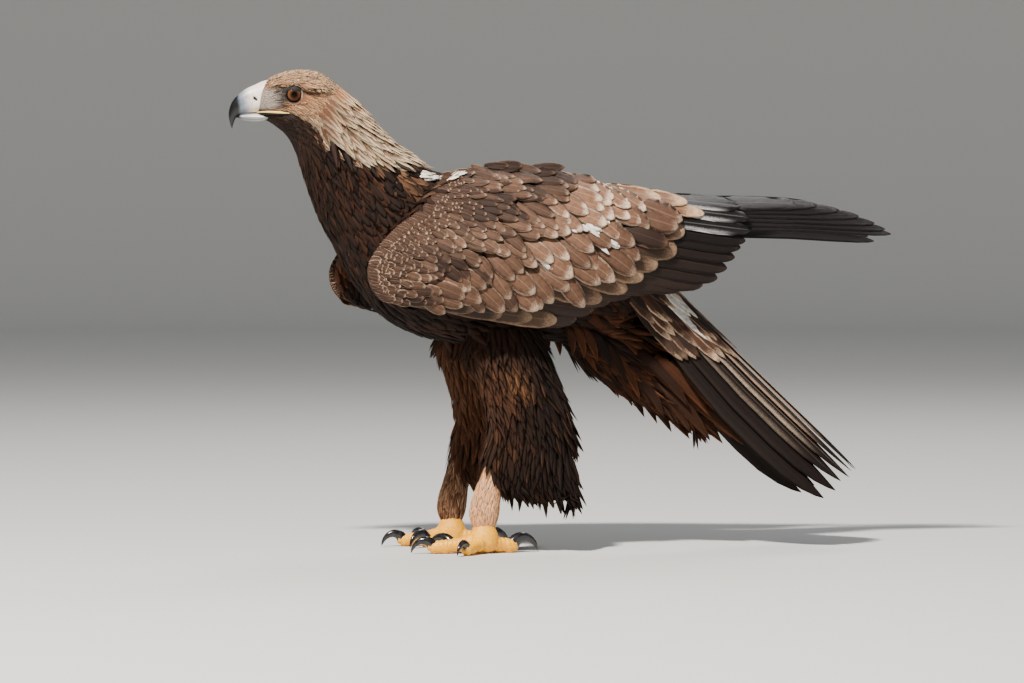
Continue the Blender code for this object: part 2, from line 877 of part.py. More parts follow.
def flatten_below(target, level=0.0):
    """Takes away whatever lies below a level and closes the flat that is left."""
    work = bmesh.new()
    work.from_mesh(target.data)
    everything = work.verts[:] + work.edges[:] + work.faces[:]
    bmesh.ops.bisect_plane(
        work,
        geom=everything,
        plane_co=(0, 0, level),
        plane_no=(0, 0, -1),
        clear_outer=True,
    )
    rim = [edge for edge in work.edges if edge.is_boundary]
    bmesh.ops.contextual_create(work, geom=rim)
    bmesh.ops.holes_fill(work, edges=[edge for edge in work.edges if edge.is_boundary])
    bmesh.ops.triangulate(work, faces=work.faces)
    bmesh.ops.recalc_face_normals(work, faces=work.faces)
    work.to_mesh(target.data)
    work.free()
    return target


def foot(tarsus):
    palm = ball("palm", (*FOOT_CENTRE, PALM_HEIGHT), FOOT_RADIUS, 6, 12, 0.92)
    toes = [toe(heading, length, root, tip) for _, heading, length, root, tip, _, _ in TOES]
    joined = combine(palm, toes, "UNION")
    cut_clear(joined, tarsus)
    return flatten_below(joined)


def tail_frame(distance):
    """The tail's ridge point at a distance along it, in side view."""
    x = TAIL_ROOT[0] + distance * math.cos(TAIL_SLOPE)
    z = TAIL_ROOT[1] - distance * math.sin(TAIL_SLOPE)
    return x, z


def tail_point(distance, turn, lift=0.0):
    """A point on the tail's arch, turned from the ridge towards one side."""
    _, width, depth, _ = read_at(TAIL, distance)
    x, z = tail_frame(distance)
    down = depth * (1 - math.cos(turn)) - lift * math.cos(turn)
    across = width * math.sin(turn) + lift * math.sin(turn)
    return (x - down * math.sin(TAIL_SLOPE), across, z - down * math.cos(TAIL_SLOPE))


def tail_block():
    """The left half of the flesh that holds the tail feathers."""
    rings = []
    for distance in np.linspace(0, TAIL_BLOCK, 4):
        width, _, thick = read_at(TAIL, distance)[1:]
        turns = np.linspace(-0.2 / width, math.radians(-88), 6)
        ring = [tail_point(distance, turn) for turn in turns]
        ring += [tail_point(distance, turn, -thick) for turn in turns[::-1]]
        rings.append(ring)
    return loft("tail", rings)


def tail_place(turn, start):
    """Places on the left half of the tail's arch, at a turn from its ridge."""

    def place(along, across, out):
        distance = start + along
        _, width, depth, _ = read_at(TAIL, distance)
        return tail_point(distance, -(math.radians(turn) + across * 2 / (width + depth)), out)

    return place


def tail_vanes():
    vanes = []
    for turn, end in TAIL_FEATHERS:
        place = tail_place(turn, TAIL_FEATHER_START)
        length = end - TAIL_FEATHER_START
        rises = (-4.5, -3.4, -1.5, 0)
        vanes.append(feather(place, length, TAIL_FEATHER_WIDTH, TAIL_SHAPE, rises, 2.4, 0.8))
    for turn, end in TAIL_COVERTS:
        place = tail_place(turn, 8)
        vanes.append(feather(place, end - 8, 13, COVERT_SHAPE, (-5, 1.2, 1.8, 2.2), 0.4, 0.9))
    return vanes


def vent_body():
    rings = []
    for place in np.linspace(0, 4, 7):
        turns = np.linspace(0, 2 * math.pi, 12, endpoint=False)
        rings.append([vent_surface(place, turn) for turn in turns])
    return loft("vent", rings)


def build_body(looks, placed):
    torso = body_piece("torso", 0.0, NECK_START, 13, True)
    neck = body_piece("neck", NECK_START, HEAD_START, 7, True)
    combine(neck, locks(body_surface, HACKLES, (-5, 1.0, 2.4, 3.4)), "UNION")
    head = shape_head(body_piece("head", HEAD_START, FACE_END, 9))
    eye = ball("eye", EYE_CENTRE, EYE_RADIUS, 7, 12)
    other_eye = mirrored(eye, "eye_right")
    cere = bill_part("cere", BILL_UPPER, 0, CERE_END, 5)
    nostril = ball("nostril", (NOSTRIL[0], -NOSTRIL[1], NOSTRIL[2]), NOSTRIL_RADIUS, 6, 8)
    combine(cere, both_sides(nostril), "DIFFERENCE")
    bill = bill_part("bill", BILL_UPPER, CERE_END + 0.04, 8, 12, 10)
    jaw = bill_part("jaw", BILL_LOWER, 0, 4, 7, 10)
    for piece, name, look in [
        (torso, "torso", "brown"),
        (neck, "neck", "gold"),
        (eye, "eye_left", "eye"),
        (other_eye, "eye_right", "eye"),
        (head, "head", "gold"),
        (cere, "cere", "yellow"),
        (bill, "bill_upper", "bill"),
        (jaw, "bill_lower", "bill"),
    ]:
        finish(settle(piece, placed), name, looks[look])


def build_legs(looks, placed):
    thigh = settle(limb("thigh", THIGH, 11, 12), placed)
    rises = (-5, 1.0, 2.2, 2.6)
    combine(thigh, locks(thigh_surface, TROUSERS, rises), "UNION")
    tarsus = settle(limb("tarsus", TARSUS, 7, 10), placed)
    pads = settle(foot(tarsus), placed)
    leg = [(thigh, "thigh", "brown"), (tarsus, "tarsus", "buff"), (pads, "foot", "yellow")]
    for name, heading, length, _, _, claw_length, claw_radius in TOES:
        nail = settle(claw(heading, length, claw_length, claw_radius), placed)
        leg.append((nail, "claw_" + name, "horn"))
    for piece, name, look in leg:
        other = mirrored(piece, name + "_right", RIGHT_LEG_SHIFT)
        if name == "thigh":
            settle(other, placed)
        else:
            placed.append(other)
        finish(piece, name + "_left", looks[look])
        finish(other, name + "_right", looks[look])


def build_tail(looks, placed):
    vent = settle(vent_body(), placed)
    combine(vent, locks(vent_surface, VENT_LOCKS, (-5, 1.0, 2.2, 3.0)), "UNION")
    finish(vent, "undertail_coverts", looks["brown"])
    left = settle(combine(tail_block(), tail_vanes(), "UNION"), placed)
    right = mirrored(left, "tail_right")
    placed.append(right)
    finish(left, "tail_left", looks["dark"])
    finish(right, "tail_right", looks["dark"])


def build_wings(looks, placed):
    secondary_columns = [-150, -120, -88, -50, -10, 30, 68, 100, 120]
    primary_columns = [50, 68, 90, 108]
    wing = [
        (wing_arm(), coverts, "wing_arm", "brown"),
        (
            root_band("band", secondary_columns, SECONDARY_LAYER, 6),
            secondaries,
            "wing_secondaries",
            "dark",
        ),
        (
            root_band("band", primary_columns, PRIMARY_LAYER, 0),
            primaries,
            "wing_primaries",
            "dark",
        ),
    ]
    for core, vanes, name, look in wing:
        other = mirrored(core, name, RIGHT_WING_SHIFT)
        other_vanes = [flipped(vane, RIGHT_WING_SHIFT) for vane in vanes()]
        settle(core, placed)
        settle(other, placed)
        combine(core, vanes(), "UNION")
        combine(other, other_vanes, "UNION")
        finish(core, name + "_left", looks[look])
        finish(other, name + "_right", looks[look])


def set_origin():
    """Moves everything so that the origin is under the middle of the bird's box."""
    boxes = np.array([box_of(item) for item in bpy.context.scene.objects])
    low, high = boxes[:, 0].min(axis=0), boxes[:, 1].max(axis=0)
    shift = ((low[0] + high[0]) / -2, (low[1] + high[1]) / -2, -low[2])
    for item in bpy.context.scene.objects:
        item.data.transform(Matrix.Translation(shift))


def main():
    for item in list(bpy.data.objects):
        bpy.data.objects.remove(item)
    looks = {
        "brown": material("brown_feathers", (0.13, 0.075, 0.045)),
        "dark": material("dark_feathers", (0.035, 0.028, 0.026), 0.45),
        "gold": material("golden_hackles", (0.46, 0.27, 0.12)),
        "buff": material("buff_feathers", (0.5, 0.38, 0.25)),
        "yellow": material("yellow_skin", (0.75, 0.5, 0.06), 0.5),
        "horn": material("black_horn", (0.03, 0.03, 0.035), 0.25),
        "bill": material("grey_bill", (0.35, 0.36, 0.37), 0.3),
        "eye": material("amber_eye", (0.28, 0.12, 0.02), 0.08),
    }
    placed = []
    build_body(looks, placed)
    build_wings(looks, placed)
    build_legs(looks, placed)
    build_tail(looks, placed)
    set_origin()


main()
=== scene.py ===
# %% [markdown]
# # A golden eagle, still and life size
# The eagle stands on both feet with its wings folded and its head raised. On the real
# bird nearly everything that shows is feather, so the lesson is mostly about laying many
# thin vanes over one smooth skin. Nothing here moves: every piece rides on one body.

import math

import bmesh
import bpy
import numpy as np
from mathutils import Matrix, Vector
from mathutils.bvhtree import BVHTree


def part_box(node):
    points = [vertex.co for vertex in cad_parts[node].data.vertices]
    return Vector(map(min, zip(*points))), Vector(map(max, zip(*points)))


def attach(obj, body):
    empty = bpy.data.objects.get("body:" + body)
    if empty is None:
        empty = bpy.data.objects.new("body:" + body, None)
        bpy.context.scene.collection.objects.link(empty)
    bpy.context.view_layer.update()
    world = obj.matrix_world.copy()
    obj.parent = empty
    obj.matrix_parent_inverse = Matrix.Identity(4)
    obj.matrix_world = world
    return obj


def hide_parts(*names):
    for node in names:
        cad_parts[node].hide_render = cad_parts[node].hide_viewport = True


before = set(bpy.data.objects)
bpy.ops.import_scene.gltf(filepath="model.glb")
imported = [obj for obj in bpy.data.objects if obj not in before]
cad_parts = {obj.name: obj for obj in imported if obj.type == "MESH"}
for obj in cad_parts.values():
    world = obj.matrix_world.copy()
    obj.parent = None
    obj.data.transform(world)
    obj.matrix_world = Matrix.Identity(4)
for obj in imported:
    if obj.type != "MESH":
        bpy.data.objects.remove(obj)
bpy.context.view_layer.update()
MM = 0.001
print("solids:", len(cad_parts))

# %% [markdown]
# The measurements below are the bird's own, in millimetres: x runs to the tail, y to the
# bird's right and z up, with the mid-plane at y = 0. The solids stand a little further
# forward, so the eye tells how far everything shifts.

# %% The bird's sizes
EYE = (-263.9, -21.5, 534.9)
EYE_RADIUS = 11.5
low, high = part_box("eye_left")
SHIFT = np.array([(low.x + high.x) / 2 - EYE[0] * MM, 0.0, 0.0])

# top (x, z), bottom (x, z) and half-width, from the tail's root to the face
BODY = [
    (172, 313, 106, 246, 26), (142, 358, 65, 244, 42), (94, 398, 28, 245, 60),
    (40, 422, -20, 241, 74), (-14, 434, -69, 244, 82), (-63, 440, -113, 252, 86),
    (-99, 448, -154, 274, 86), (-120, 464, -188, 313, 78), (-139, 476, -210, 352, 67),
    (-160, 497, -228, 384, 57), (-180, 520, -243, 423, 48), (-197, 537, -255, 461, 42),
    (-213, 552, -267, 485, 39), (-231, 563, -281, 497, 37), (-255, 565, -290, 503, 34),
    (-276, 561, -296, 505, 28), (-292, 553, -300, 506, 21), (-300, 548.6, -303, 507.5, 14.6),
]
# height, centre x, half-length, centre y and half-width
THIGH = [
    (262, -20, 46, -50, 24), (240, -20, 54, -54, 30), (212, -10, 53, -57, 31),
    (178, 2, 53, -60, 29), (148, 8, 54, -62, 26), (124, 8, 53, -63, 23),
    (98, 10, 54, -64, 19), (74, 22, 46, -64, 15), (52, 36, 24, -64, 10),
]
LEG_TOP = [(296, -26, 36, -38, 18)]
TARSUS = [
    (160, -24, 14, -62, 13), (124, -31, 15, -63, 14), (96, -36, 14, -64, 13),
    (74, -41, 17, -65, 14), (54, -45, 19, -65, 15), (40, -46, 18, -65, 14),
    (26, -46, 12, -65, 10),
]
# the outer face of the wing: x, fullest height, reach above and below, depth
BLADE = [
    (-190, 338, 72, 52, 112), (-140, 345, 78, 62, 127), (-60, 347, 101, 72, 126),
    (0, 346, 105, 74, 121), (63, 347, 97, 70, 111), (133, 352, 74, 62, 93),
    (205, 360, 58, 54, 73), (272, 372, 44, 46, 56), (350, 382, 34, 36, 43),
    (449, 376, 28, 28, 32),
]
# the wing's outline: x, lower and upper edge
WING = [
    (-188, 330, 340), (-183, 313, 351), (-168, 296, 370), (-140, 285, 394),
    (-110, 280, 424), (-60, 275, 448), (0, 270, 451), (63, 290, 444),
    (92, 310, 433), (133, 330, 421),
]
FAR_WING = (-10, 0, -9)
FAR_LEG = (-15, 0, 0)


def curve_through(rows, places):
    """Reads a table of rows along a smooth curve, at places that need not be whole."""
    rows = np.asarray(rows, float)
    last = len(rows) - 1
    places = np.clip(np.atleast_1d(np.asarray(places, float)), 0, last)
    index = np.minimum(places.astype(int), last - 1)
    part = (places - index)[:, None]
    before, start = rows[np.maximum(index - 1, 0)], rows[index]
    end, after = rows[index + 1], rows[np.minimum(index + 2, last)]
    slope, next_slope = (end - before) / 2, (after - start) / 2
    step = end - start
    bend = 3 * step - 2 * slope - next_slope
    turn = slope + next_slope - 2 * step
    return start + part * (slope + part * (bend + part * turn))


def at_x(rows, x):
    """Reads a table whose first column is x."""
    fine = curve_through(rows, np.linspace(0, len(rows) - 1, 400))
    x = np.asarray(x, float)
    return np.stack([np.interp(x, fine[:, 0], fine[:, i]) for i in range(1, fine.shape[1])], -1)


print("shift", SHIFT)

# %% [markdown]
# The camera looks as the picture does: from a little behind the bird's left side, almost
# level with it. A long lens from six metres keeps the far leg and the near leg nearly the
# same size, as they are in the picture.

# %% Camera
PICTURE = (1024, 683)
PIXEL = 1.18
TURN = math.radians(-11)
RISE = math.radians(2)
# where the bird's own zero shows in the picture
MIDDLE = (512, 549)
DISTANCE = 6.0
SENSOR = 36

aim = Vector(SHIFT) + Vector((0, 0, (MIDDLE[1] - PICTURE[1] / 2) * PIXEL * MM))
level = math.cos(RISE)
ahead = Vector((-math.sin(TURN) * level, math.cos(TURN) * level, -math.sin(RISE)))
bpy.ops.object.camera_add(location=aim - ahead * DISTANCE)
camera = bpy.context.object
camera.name = "camera"
camera.rotation_euler = ahead.to_track_quat("-Z", "Y").to_euler()
camera.data.lens = SENSOR * DISTANCE / (PICTURE[0] * PIXEL * MM)
camera.data.clip_end = 50
bpy.context.scene.camera = camera


def seen(px, py, y=0.0):
    """The place (x, z) on the bird that shows at a point of the photograph."""
    across = (np.asarray(px, float) - MIDDLE[0]) * PIXEL
    up = (MIDDLE[1] - np.asarray(py, float)) * PIXEL
    x = (across - y * math.sin(TURN)) / math.cos(TURN)
    z = up + math.sin(TURN) * math.sin(RISE) * x - math.cos(TURN) * math.sin(RISE) * y
    return x, z / math.cos(RISE)


print("lens", round(camera.data.lens, 1))

# %% [markdown]
# A wide pale dish, flat round the bird and rising only far behind every camera, a strong
# light from the front left and high above, and weak fills: studio light that still leaves
# the underside dark, as the sun does in the picture.

# %% Studio
# the dish in metres: how far it is flat, the radius of its bend and its height
DISH_FLAT = 8
DISH_BEND = 2.5
DISH_HEIGHT = 4

floor_look = bpy.data.materials.new("studio_floor")
floor_look.use_nodes = True
floor_shader = floor_look.node_tree.nodes["Principled BSDF"]
floor_shader.inputs["Base Color"].default_value = (0.58, 0.58, 0.57, 1)
floor_shader.inputs["Roughness"].default_value = 0.8
bpy.ops.mesh.primitive_grid_add(x_subdivisions=96, y_subdivisions=26, size=1)
floor = bpy.context.object
floor.name = "studio_floor"
bend = np.linspace(0, np.pi / 2, 24)
reach = np.concatenate([[0.001, 3], DISH_FLAT + DISH_BEND * np.sin(bend), [DISH_FLAT + DISH_BEND]])
rise = np.concatenate([[0, 0], DISH_BEND - DISH_BEND * np.cos(bend), [DISH_HEIGHT]])
turns = np.linspace(0, 2 * np.pi, 97)
dish = [(r * math.cos(t), r * math.sin(t), h) for r, h in zip(reach, rise) for t in turns]
floor.data.vertices.foreach_set("co", np.array(dish, np.float32).ravel())
bpy.ops.object.shade_smooth()
floor.data.materials.append(floor_look)


def soft_light(name, place, size, power, colour):
    bpy.ops.object.light_add(type="AREA", location=place)
    lamp = bpy.context.object
    lamp.name = name
    lamp.data.shape = "DISK"
    lamp.data.size = size
    lamp.data.energy = power
    lamp.data.color = colour
    lamp.rotation_euler = (aim - Vector(place)).to_track_quat("-Z", "Y").to_euler()


soft_light("key", (-1.75, -2.4, 3.8), 0.36, 600, (1.0, 0.95, 0.87))
soft_light("fill", (2.6, -2.6, 1.0), 2.4, 12, (0.93, 0.96, 1.0))
soft_light("back", (1.0, 2.4, 2.8), 1.2, 40, (1.0, 0.98, 0.95))
world = bpy.data.worlds.new("studio")
bpy.context.scene.world = world
world.use_nodes = True
sky = world.node_tree.nodes["Background"]
sky.inputs["Color"].default_value = (0.62, 0.66, 0.7, 1)
sky.inputs["Strength"].default_value = 0.32
print("lights ready")

# %% [markdown]
# Every finish is a small recipe of nodes. So that a recipe reads like sums, a signal
# wraps one socket, and adding or multiplying signals adds the Math nodes.

# %% Signals and finishes


class Signal:
    """One output socket that can be used in sums."""

    def __init__(self, finish, socket):
        self.finish = finish
        self.socket = socket

    def sum_with(self, operation, other, turned=False):
        pair = (other, self) if turned else (self, other)
        return self.finish.node("ShaderNodeMath", {"operation": operation}, dict(enumerate(pair)))

    def __add__(self, other):
        return self.sum_with("ADD", other)

    def __sub__(self, other):
        return self.sum_with("SUBTRACT", other)

    def __rsub__(self, other):
        return self.sum_with("SUBTRACT", other, True)

    def __mul__(self, other):
        return self.sum_with("MULTIPLY", other)

    def __pow__(self, other):
        return self.sum_with("POWER", other)

    __radd__ = __add__
    __rmul__ = __mul__

    def size(self):
        return self.finish.node("ShaderNodeMath", {"operation": "ABSOLUTE"}, {0: self})

    def larger(self, other):
        return self.sum_with("MAXIMUM", other)

    def wave(self):
        return self.finish.node("ShaderNodeMath", {"operation": "SINE"}, {0: self})

    def step(self, start, end):
        """0 below start, 1 above end and smooth between them."""
        return self.finish.node(
            "ShaderNodeMapRange",
            {"interpolation_type": "SMOOTHSTEP"},
            {"Value": self, "From Min": start, "From Max": end},
        )


class Finish:
    """A Principled material that is built up node by node."""

    def __init__(self, name, **fixed):
        self.material = bpy.data.materials.new(name)
        self.material.use_nodes = True
        self.tree = self.material.node_tree
        self.shader = self.tree.nodes["Principled BSDF"]
        for socket, value in fixed.items():
            self.shader.inputs[socket.replace("_", " ")].default_value = value

    def node(self, kind, settings, inputs, output=0):
        made = self.tree.nodes.new(kind)
        for key, value in settings.items():
            setattr(made, key, value)
        for key, value in inputs.items():
            if isinstance(value, Signal):
                self.tree.links.new(value.socket, made.inputs[key])
            else:
                made.inputs[key].default_value = value
        return Signal(self, made.outputs[output])

    def place(self):
        return self.node("ShaderNodeTexCoord", {}, {}, "Object")

    def split(self, vector):
        made = self.tree.nodes.new("ShaderNodeSeparateXYZ")
        self.tree.links.new(vector.socket, made.inputs[0])
        return [Signal(self, output) for output in made.outputs]

    def offsets(self, x, z):
        """Millimetres behind and above a place on the bird."""
        along, _, height = self.split(self.place())
        return (along - (x * MM + SHIFT[0])) * (1 / MM), (height - z * MM) * (1 / MM)

    def vane(self):
        """Across (0 to 1) and along (0 to 1) the feather."""
        found = self.node("ShaderNodeUVMap", {"uv_map": "Vane"}, {})
        return self.split(found)[:2]

    def attribute(self, name, output="Color"):
        return self.node("ShaderNodeAttribute", {"attribute_name": name}, {}, output)

    def noise(self, scale, detail=3, stretch=None):
        """A cloudy pattern on the bird, finer by the stretch along x, y and z."""
        vector = self.place()
        if stretch:
            vector = self.node("ShaderNodeVectorMath", {"operation": "MULTIPLY"}, {0: vector, 1: stretch})
        return self.node(
            "ShaderNodeTexNoise", {},
            {"Vector": vector, "Scale": scale, "Detail": detail, "Roughness": 0.55},
        )

    def mix(self, factor, one, other):
        return self.node("ShaderNodeMix", {"data_type": "RGBA"}, {0: factor, 6: one, 7: other}, 2)

    def feed(self, socket, signal):
        self.tree.links.new(signal.socket, self.shader.inputs[socket])

    def colour(self, signal):
        self.feed("Base Color", signal)

    def relief(self, height, strength, distance):
        bump = self.node(
            "ShaderNodeBump", {}, {"Height": height, "Strength": strength, "Distance": distance}
        )
        self.feed("Normal", bump)


def srgb(red, green, blue):
    """A colour as the eye names it, 0 to 255, as the linear one that Blender mixes."""
    parts = np.array([red, green, blue], float) / 255
    return tuple(np.where(parts < 0.04045, parts / 12.92, ((parts + 0.055) / 1.055) ** 2.4))


def rgba(*parts):
    return (*srgb(*parts), 1)


print("finish kit ready")

# %% [markdown]
# Smooth round forms, such as the trunk, a leg, a toe or the bill, start as a flat grid
# that is rolled up: each row of the grid becomes one ring. The open seam is merged and
# the two ends are filled.

# %% Rolling a grid into a body


def settle_piece(name, look, hides=()):
    """Names the finished piece, gives it its finish and lets it ride on the bird."""
    piece = bpy.context.object
    piece.name = name
    piece.data.name = name
    if look is not None:
        piece.data.materials.clear()
        piece.data.materials.append(look)
    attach(piece, "root")
    if hides:
        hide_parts(*hides)
    return piece


def select_only(piece):
    bpy.ops.object.select_all(action="DESELECT")
    piece.select_set(True)
    bpy.context.view_layer.objects.active = piece


def rolled(rings):
    """A closed body through rings of points in millimetres, as the active object."""
    rings = np.asarray(rings, float)
    steps, sides = rings.shape[:2]
    bpy.ops.mesh.primitive_grid_add(x_subdivisions=sides, y_subdivisions=steps - 1, size=1)
    made = bpy.context.object
    closed = np.concatenate([rings, rings[:, :1]], axis=1).reshape(-1, 3) * MM + SHIFT
    made.data.vertices.foreach_set("co", closed.ravel())
    bpy.ops.object.mode_set(mode="EDIT")
    bpy.ops.mesh.select_all(action="SELECT")
    bpy.ops.mesh.remove_doubles(threshold=1e-6)
    bpy.ops.mesh.fill_holes(sides=0)
    bpy.ops.mesh.normals_make_consistent(inside=False)
    bpy.ops.object.mode_set(mode="OBJECT")
    bpy.ops.object.shade_smooth()
    return made


def joined(pieces):
    select_only(pieces[0])
    for piece in pieces:
        piece.select_set(True)
    bpy.ops.object.join()
    return bpy.context.object


def with_modifier(piece, kind, **settings):
    bpy.context.view_layer.objects.active = piece
    modifier = piece.modifiers.new(kind.lower(), kind)
    for key, value in settings.items():
        setattr(modifier, key, value)
    bpy.ops.object.modifier_apply(modifier=modifier.name)


def ring_turns(sides):
    """Angles for the points of a ring, none of them straight up or level."""
    return 2 * np.pi * (np.arange(sides) + 0.5) / sides


def squarer(wave, power):
    """A sine or cosine that stays near its ends for longer, which squares a ring a little."""
    return np.sign(wave) * np.abs(wave) ** power


def body_place(place, turn, inset=0.0):
    """Points on the trunk, neck and head, sunk under the solids' surface by inset."""
    rows = curve_through(BODY, place)
    top, bottom, width = rows[:, 0:2], rows[:, 2:4], rows[:, 4]
    middle, half = (top + bottom) / 2, (top - bottom) / 2
    length = np.linalg.norm(half, axis=1)
    half = half * ((length - inset) / length)[:, None]
    up, out = squarer(np.sin(turn), 0.92), squarer(np.cos(turn), 0.92)
    return np.stack(
        [middle[:, 0] + half[:, 0] * up, (width - inset) * out, middle[:, 1] + half[:, 1] * up], -1
    )


def limb_place(rows, place, turn, inset=0.0):
    z, x, length, y, width = curve_through(rows, place).T
    return np.stack(
        [x + (length - inset) * np.cos(turn), y + (width - inset) * np.sin(turn), z], -1
    )


def blade_depth(x, z):
    """How far the wing's outer face lies from the mid-plane."""
    middle, above, below, depth = np.moveaxis(at_x(BLADE, x), -1, 0)
    under = depth * (1 - 0.14 * np.minimum(np.maximum(middle - z, 0) / below, 1.3) ** 2)
    over = depth * np.sqrt(1 - 0.82 * np.minimum(np.maximum(z - middle, 0) / above, 1) ** 2)
    return np.where(z < middle, under, over)


def tube(route, radii, sides=16, flatten=1.0):
    """Rings of a round rod along a route of points in millimetres."""
    route = np.asarray(route, float)
    turns = ring_turns(sides)
    rings = []
    for index, point in enumerate(route):
        tangent = route[min(index + 1, len(route) - 1)] - route[max(index - 1, 0)]
        side = np.cross(tangent, (0, 0, 1))
        side /= np.linalg.norm(side)
        up = np.cross(side, tangent)
        up /= np.linalg.norm(up)
        rings.append(point + radii[index] * (
            np.cos(turns)[:, None] * side + flatten * np.sin(turns)[:, None] * up
        ))
    return np.array(rings)


print("wing is", round(float(blade_depth(-60, 347))), "mm from the mid-plane")

# %% [markdown]
# The skin is one surface under all the feathers. Trunk, thighs, legs, the wings' arms and
# the flesh under the tail are made apart, joined, and run through a voxel remesh that
# melts them into one another, as skin does over muscle. It lies a few millimetres inside
# the solids, which leaves room for the feathers.

# %% The one skin
TAIL_TURN = math.radians(44)
SKIN_VOXEL = 0.0027
# the flesh under the tail: x, z, half-height and half-width
VENT = [(58, 272, 16, 24), (90, 257, 42, 31), (130, 234, 50, 33), (165, 203, 41, 31),
        (200, 169, 24, 25), (232, 136, 6, 9)]


def trunk_inset(place):
    return np.interp(place, [0, 7, 10, 11.5, 17], [4.5, 4.5, 4, 2.2, 1.2])


def vent_place(place, turn, inset=0.0):
    x, z, height, width = curve_through(VENT, place).T
    up = (height - inset) * np.sin(turn)
    return np.stack(
        [x + up * math.sin(TAIL_TURN), (width - inset) * np.cos(turn), z + up * math.cos(TAIL_TURN)], -1
    )


def on_its_side(points, side, move):
    """Points of the near side, or for side 1 their mirrored and moved copy."""
    return points if side < 0 else points * np.array([1, -1, 1]) + np.array(move)


def form_rings(surface, first, last, steps):
    """Rings of points round a form, from its place first to its place last."""
    circle = np.linspace(0, 2 * np.pi, 40, endpoint=False)
    return np.array([surface([place] * 40, circle) for place in np.linspace(first, last, steps)])


def arm_rings():
    """The wing's arm as rings that run round it from its front to its back."""
    rings = []
    for x in np.linspace(-184, 128, 30):
        low_z, high_z = at_x(WING, x)
        heights = np.linspace(low_z + 5, high_z - 4, 14)
        thick = 0.42 * max(min(1.0, (x + 190) / 40, (140 - x) / 30), 0.3)
        outer = [(x, -(blade_depth(x, z) - 4.5), z) for z in heights]
        inner = [(x, -(blade_depth(x, z) - 4.5) * (1 - thick), z) for z in heights[::-1]]
        rings.append(outer + inner)
    return np.array(rings, float)


parts = [rolled(form_rings(lambda place, turn: body_place(place, turn, trunk_inset(place)), 0, 17, 96))]
thigh = form_rings(lambda place, turn: limb_place(LEG_TOP + THIGH, place, turn, 7.0), 0, 8.2, 34)
tarsus = form_rings(lambda place, turn: limb_place(TARSUS, place, turn, 1.8), 0, 6, 24)
arm = arm_rings()
for side in (-1, 1):
    for rings, move in ((thigh, FAR_LEG), (tarsus, FAR_LEG), (arm, FAR_WING)):
        parts.append(rolled(on_its_side(rings, side, move)))
parts.append(rolled(form_rings(lambda place, turn: vent_place(place, turn, 11.0), 0, 4.7, 26)))

skin = joined(parts)
with_modifier(skin, "REMESH", mode="VOXEL", voxel_size=SKIN_VOXEL)
with_modifier(skin, "SMOOTH", factor=0.6, iterations=4)

# %% [markdown]
# The head gets finer faces of its own, and then a bony brow over the eye, a hollow below
# it and another in front of it. A sphere is cut away where each eye will lie.

# %% Brow and sockets
# the ridge of the brow: x and z
BROW = np.array([(-292, 547), (-281, 547.5), (-270, 546.8), (-258, 544.8), (-249, 542.6),
                 (-236, 540), (-225, 541)])
SOCKET_OUT = 37.0
SOCKET_RADIUS = 13.0


def read_places(items, key):
    """Points or faces of the skin in the bird's own millimetres."""
    found = np.zeros(len(items) * 3, np.float32)
    items.foreach_get(key, found)
    return (found.reshape(-1, 3) - SHIFT) / MM


def in_fixed_order(mesh):
    """The same mesh with points and faces sorted by place. A new sphere has them in another
    order on every run, which its cut would pass on to the skin and the feathers' roots."""
    points = np.zeros(len(mesh.vertices) * 3, np.float32)
    mesh.vertices.foreach_get("co", points)
    points = points.reshape(-1, 3)
    order = np.lexsort(points.T)
    rank = np.argsort(order)
    faces = sorted(rank[list(face.vertices)].tolist() for face in mesh.polygons)
    made = bpy.data.meshes.new(mesh.name)
    made.from_pydata(points[order].tolist(), [], faces)
    return made


centres = read_places(skin.data.polygons, "center")
on_head = (centres[:, 0] < -215) & (centres[:, 2] > 490)
bpy.context.tool_settings.mesh_select_mode = (False, False, True)
skin.data.polygons.foreach_set("select", on_head)
bpy.ops.object.mode_set(mode="EDIT")
bpy.ops.mesh.subdivide(number_cuts=1, smoothness=0.6)
bpy.ops.object.mode_set(mode="OBJECT")

points = read_places(skin.data.vertices, "co")
x, y, z = points.T
# out along the brow, in below it, and in before the eye
over = z - np.interp(x, BROW[:, 0], BROW[:, 1])
push = 4.6 * np.exp(-((over / 3.0) ** 2)) - 2.4 * np.exp(-(((over + 7.5) / 4.5) ** 2))
push = push * np.clip((x + 294) / 12, 0, 1) * np.clip((-222 - x) / 18, 0, 1)
push -= 2.6 * np.exp(-(((x + 284) / 7) ** 2 + ((z - 531) / 8) ** 2))
points[:, 1] += np.sign(y) * push * (np.abs(y) > 12) * (z > 500)
skin.data.vertices.foreach_set("co", (points * MM + SHIFT).astype(np.float32).ravel())
skin.data.update()
for side in (-1, 1):
    bpy.ops.mesh.primitive_uv_sphere_add(
        segments=40, ring_count=24, radius=SOCKET_RADIUS * MM,
        location=Vector((EYE[0] * MM, side * SOCKET_OUT * MM, EYE[2] * MM)) + Vector(SHIFT),
    )
    hollow = bpy.context.object
    hollow.data = in_fixed_order(hollow.data)
    with_modifier(skin, "BOOLEAN", operation="DIFFERENCE", object=hollow, solver="MANIFOLD")
    bpy.data.objects.remove(hollow)
select_only(skin)
bpy.ops.object.shade_smooth()
print("skin faces", len(skin.data.polygons))

# %% [markdown]
# The closing bake wants every feather to know where it grows on the skin, so the skin is
# unwrapped once and each feather later takes a tiny patch at its root's place.

